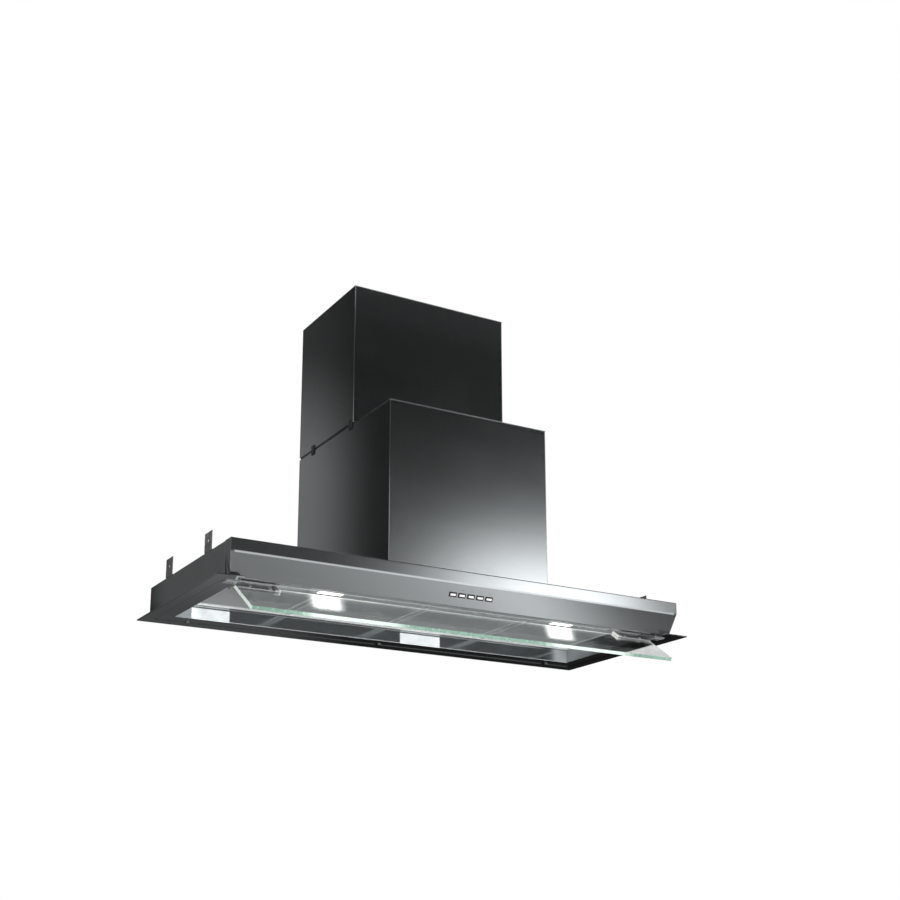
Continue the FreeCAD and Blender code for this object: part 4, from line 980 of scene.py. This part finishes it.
class HOOD_OT_buttons(bpy.types.Operator):
    """Finish the five push buttons and their dark surround"""

    bl_idname = "hood.buttons"
    bl_label = "Push buttons"

    def execute(self, context):
        for number in BUTTONS:
            node = "button_%d" % number
            mesh = welded(node)
            front = [face for face in mesh.faces if face.normal.dot(FACE_NORMAL) > FACE_AGREEMENT]
            bmesh.ops.inset_region(mesh, faces=front, thickness=BUTTON_RIM, depth=0.0)
            for face in mesh.faces:
                face.material_index = 0 if face in front else 1
            dress(node, "button", "black", mesh=mesh, soften=0.0005, segments=3)
        dress("button_bezel", "black")
        self.mark(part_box("button_1"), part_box("button_2"))
        recoat("black", "switch_block")
        return {"FINISHED"}

    def mark(self, first, second):
        """Small printed dots on the face, over the last four buttons."""
        pitch = second[0].x - first[0].x
        middle = (first[0] + first[1]) / 2
        turned = FACE_NORMAL.to_track_quat("Z", "X")
        mesh = bmesh.new()
        for number in (1, 2, 3, 4):
            spot = Vector((middle.x + number * pitch, middle.y - DOT_FORWARD, middle.z + DOT_UP))
            made = bmesh.ops.create_circle(mesh, cap_ends=True, segments=20, radius=DOT_RADIUS)["verts"]
            for vert in made:
                vert.co = turned @ vert.co + spot
        keep(mesh, "button_marks", ["black"], "hood")


class HOOD_OT_covers(bpy.types.Operator):
    """Finish the duct covers, their clips and the parts behind them"""

    bl_idname = "hood.covers"
    bl_label = "Duct covers"

    def execute(self, context):
        fold = context.scene.hood_sizes.bend_radius
        for node in ("lower_cover", "upper_cover"):
            dress(node, "satin", fold=fold)
        mesh = welded("lower_cover_lid")
        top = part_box("lower_cover")[1].z
        for face in mesh.faces:
            # The lid's faces above the cover's top are black: painted shade in the joint under the upper
            # cover.
            face.material_index = int(face.calc_center_median().z > top + LID_STEP)
        dress("lower_cover_lid", "zinc", "black", mesh=mesh)
        dress("cover_clips", "black")
        dress("top_brackets", "zinc")
        dress("mounting_plate", "zinc")
        return {"FINISHED"}


class HOOD_OT_blower(bpy.types.Operator):
    """Finish the blower, the outlet and the electrical parts"""

    bl_idname = "hood.blower"
    bl_label = "Blower and outlet"

    def execute(self, context):
        recoat("scroll", "scroll_housing", "scroll_inlet_rings")
        recoat("fan", "impeller")
        recoat("screw", "motor_shaft", "damper_pin")
        dress("motor", "motor", soften=0.0012, segments=3)
        recoat("zinc", "motor_bracket")
        recoat("black", "outlet_collar", "damper_flap_front", "damper_flap_rear", "cable_gland")
        dress("control_box", "black", soften=0.0012, segments=3)
        recoat("capacitor", "capacitor")
        return {"FINISHED"}


def card(name, spots, light):
    """A studio card that only reflections see, lit on its front by a pattern of its own."""
    data = bpy.data.meshes.new(name)
    data.from_pydata(spots, [], [(0, 1, 2, 3)])
    material = bpy.data.materials.new(name)
    material.use_nodes = True
    tree = material.node_tree
    tree.nodes.clear()
    glow = grow(tree, "ShaderNodeEmission", Strength=light(tree))
    grow(tree, "ShaderNodeOutputMaterial", Surface=one_sided(tree, glow.outputs[0]))
    data.materials.append(material)
    piece = link(name, data)
    hide(piece, "camera", "diffuse", "transmission", "shadow", "volume_scatter")


def front_light(tree):
    """Dim above, a soft bright window to the right, mid grey to the left, pale near the floor."""
    x, z = split(tree, "XZ")
    window = times(tree, faded(tree, (x, 1.20, 1.85), (x, 2.38, 2.20)),
                   faded(tree, (z, 0.90, 0.62), (z, -0.10, 0.30)), 2.1)
    band = faded(tree, (x, 0.90, 1.70, 0.0, 0.6), (x, 2.35, 2.15, 0.1, 1.0), (z, 0.68, 0.54))
    dim = plus(tree, ramp(tree, z, 1.30, 0.75, 0.01, 0.055), ramp(tree, z, 1.75, 2.40, 0.0, 0.16))
    pale = ramp(tree, z, -0.10, -0.40, 0.0, 0.80)
    return plus(tree, window, dim, plus(tree, band, pale))


def floor_light(tree):
    """Palest right of its middle, dimmer to both sides and near the hood."""
    x, y = split(tree, "XY")
    middle = faded(tree, (x, 0.30, 1.30, 0.25, 0.60), (x, 1.80, 1.38, 0.08, 1.0))
    peak = faded(tree, (x, 1.05, 1.30), (x, 1.60, 1.35))
    return times(tree, mapped(tree, peak, 0.48, middle),
                 ramp(tree, y, -1.45, -1.60, 0.12, 1.0))


def back_light(tree):
    """Nearly dark, paler beside the covers and low on the left."""
    x, z = split(tree, "XZ")
    side = distance(tree, "X")
    beside = faded(tree, (side, 0.34, 0.17), (z, -0.17, -0.13), (z, 0.40, 0.12, 0.15, 1.0))
    low = faded(tree, (x, 0.00, -0.24), (z, -0.17, -0.20), (z, -0.23, -0.33, 1.0, 2.2))
    wide = faded(tree, (x, -0.42, -0.47), (z, -0.19, -0.15))
    total = plus(tree, times(tree, beside, 0.20), times(tree, low, 0.07))
    return plus(tree, mapped(tree, wide, 0.10, total), 0.015)


def graded(axis, *step):
    """A card's light that is one smooth step along an axis."""
    return lambda tree: ramp(tree, *split(tree, axis), *step)


def lamp_light(tree):
    """Bright, a little uneven along its length."""
    return mapped(tree, noise(tree, place(tree), 60.0, 2.0), 1.2, 1.9)


def upright(y, left, right, low, high):
    """The corners of an upright card, its front to the rear."""
    return [(left, y, low), (left, y, high), (right, y, high), (right, y, low)]


def level(z, left, right, front, back):
    """The corners of a level card, its front upwards."""
    return [(left, front, z), (right, front, z), (right, back, z), (left, back, z)]


def soft_lamp(name, spot, aim, size, power):
    """An area lamp that reflections don't show."""
    data = bpy.data.lights.new(name, "AREA")
    data.shape = "SQUARE"
    data.size = size
    data.energy = power
    lamp = link(name, data)
    lamp.location = spot
    lamp.rotation_euler = (Vector(aim) - Vector(spot)).to_track_quat("-Z", "Y").to_euler()
    hide(lamp, "glossy", "camera", "transmission")


class HOOD_OT_stage(bpy.types.Operator):
    """Set up the floor, the studio cards, the lights and the camera"""

    bl_idname = "hood.stage"
    bl_label = "Stage"

    def execute(self, context):
        self.lay_floor()
        self.hang_cards()
        self.light_air(context.scene)
        soft_lamp("key_lamp", (-1.8, -2.6, 1.6), (0.0, -0.2, 0.0), 1.6, 45.0)
        soft_lamp("low_fill", (0.2, -1.6, -1.1), (0.0, -0.2, -0.2), 1.2, 24.0)
        self.set_camera(context.scene)
        return {"FINISHED"}

    def lay_floor(self):
        """A pale floor that the camera sees as white, and doesn't see from beneath."""
        data = bpy.data.meshes.new("studio_floor")
        data.from_pydata(level(GROUND, -20, 20, -20, 20), [], [(0, 1, 2, 3)])
        material, tree, shader = paint("pale floor", Roughness=0.8)
        cloud = noise(tree, place(tree), 1.2, 4.0)
        feed(tree, shader, Base_Color=blend_colours(tree, cloud, (0.80, 0.80, 0.80), (0.84, 0.84, 0.84)))
        seen = tree.nodes.new("ShaderNodeLightPath").outputs["Is Camera Ray"]
        white = grow(tree, "ShaderNodeEmission", Strength=1.0)
        top = one_sided(tree, blend_shaders(tree, seen, shader.outputs[0], white.outputs[0]))
        plug(tree, tree.nodes["Material Output"].inputs["Surface"], top)
        data.materials.append(material)
        link("studio_floor", data)

    def hang_cards(self):
        """The cards round the hood, and one in front of each pale patch of the rear wall."""
        card("card_front", upright(-2.9, -2.3, 3.2, GROUND, 2.8), front_light)
        card("card_floor", level(CARD_GROUND, -0.2, 2.7, -2.7, -0.9), floor_light)
        card("card_back", [(-0.9, 0.03, -0.7), (1.2, 0.03, -0.7), (1.2, 0.03, 0.66), (-0.9, 0.03, 0.66)],
             back_light)
        card("card_below", level(CARD_GROUND, -1.4, 1.6, -0.9, 0.5), graded("X", 1.5, -1.4, 0.10, 0.20))
        card("card_above", [(-0.4, -2.9, 2.8), (-0.4, 1.6, 2.8), (3.2, 1.6, 2.8), (3.2, -2.9, 2.8)],
             graded("X", 1.5, -0.4, 0.02, 0.06))
        card("card_left", [(-2.3, -2.9, GROUND), (-2.3, 0.9, GROUND), (-2.3, 0.9, 2.2), (-2.3, -2.9, 2.2)],
             graded("Z", 0.95, 0.62, 0.06, 0.55))
        for number, left, right in ((1, -0.3685, -0.299), (2, 0.038, 0.1226)):
            card("card_lamp_%d" % number, upright(-0.076, left, right, -0.1975, -0.1765), lamp_light)

    def light_air(self, scene):
        """White air, a little dimmer where it lights the hood."""
        world = bpy.data.worlds.new("studio air")
        world.use_nodes = True
        tree = world.node_tree
        rays = tree.nodes.new("ShaderNodeLightPath").outputs
        seen = maths(tree, "MAXIMUM", maths(tree, "MAXIMUM", rays["Is Camera Ray"], rays["Is Glossy Ray"]),
                     rays["Is Transmission Ray"])
        feed(tree, tree.nodes["Background"], Color=(1.0, 1.0, 1.0),
             Strength=plus(tree, times(tree, seen, 0.4), 0.6))
        scene.world = world

    def set_camera(self, scene):
        """The photo's point of view."""
        lens = bpy.data.cameras.new("view")
        lens.lens = VIEW_LENS
        lens.sensor_width = 36.0
        lens.shift_y = VIEW_SHIFT
        viewer = link("view", lens)
        viewer.location = VIEW_SPOT
        viewer.rotation_euler = (radians(90) + VIEW_RISE, 0.0, VIEW_TURN)
        scene.camera = viewer
        scene.view_settings.view_transform = "Standard"


STEPS = [HOOD_OT_paints, HOOD_OT_stage, HOOD_OT_front, HOOD_OT_canopy, HOOD_OT_filters, HOOD_OT_lamps,
         HOOD_OT_glass, HOOD_OT_buttons, HOOD_OT_covers, HOOD_OT_blower]


class HOOD_PT_panel(bpy.types.Panel):
    """The hood's steps and settings"""

    bl_idname = "HOOD_PT_panel"
    bl_label = "Range hood"
    bl_space_type = "VIEW_3D"
    bl_region_type = "UI"
    bl_category = "Hood"

    def draw(self, context):
        for step in STEPS:
            self.layout.operator(step.bl_idname)
        for group in (context.scene.hood_finishes, context.scene.hood_sizes):
            for key in group.bl_rna.properties.keys():
                if key not in ("name", "rna_type"):
                    self.layout.prop(group, key)


CLASSES = [HoodFinishes, HoodSizes, *STEPS, HOOD_PT_panel]


def register():
    """Registers the classes and hangs the settings on the scene."""
    for each in CLASSES:
        bpy.utils.register_class(each)
    bpy.types.Scene.hood_finishes = bpy.props.PointerProperty(type=HoodFinishes)
    bpy.types.Scene.hood_sizes = bpy.props.PointerProperty(type=HoodSizes)


def unregister():
    """Takes the settings and the classes away again."""
    del bpy.types.Scene.hood_sizes
    del bpy.types.Scene.hood_finishes
    for each in reversed(CLASSES):
        bpy.utils.unregister_class(each)


def main():
    """Builds the whole scene, one step after another."""
    register()
    for step in STEPS:
        family, name = step.bl_idname.split(".")
        getattr(getattr(bpy.ops, family), name)()


if __name__ == "__main__":
    main()
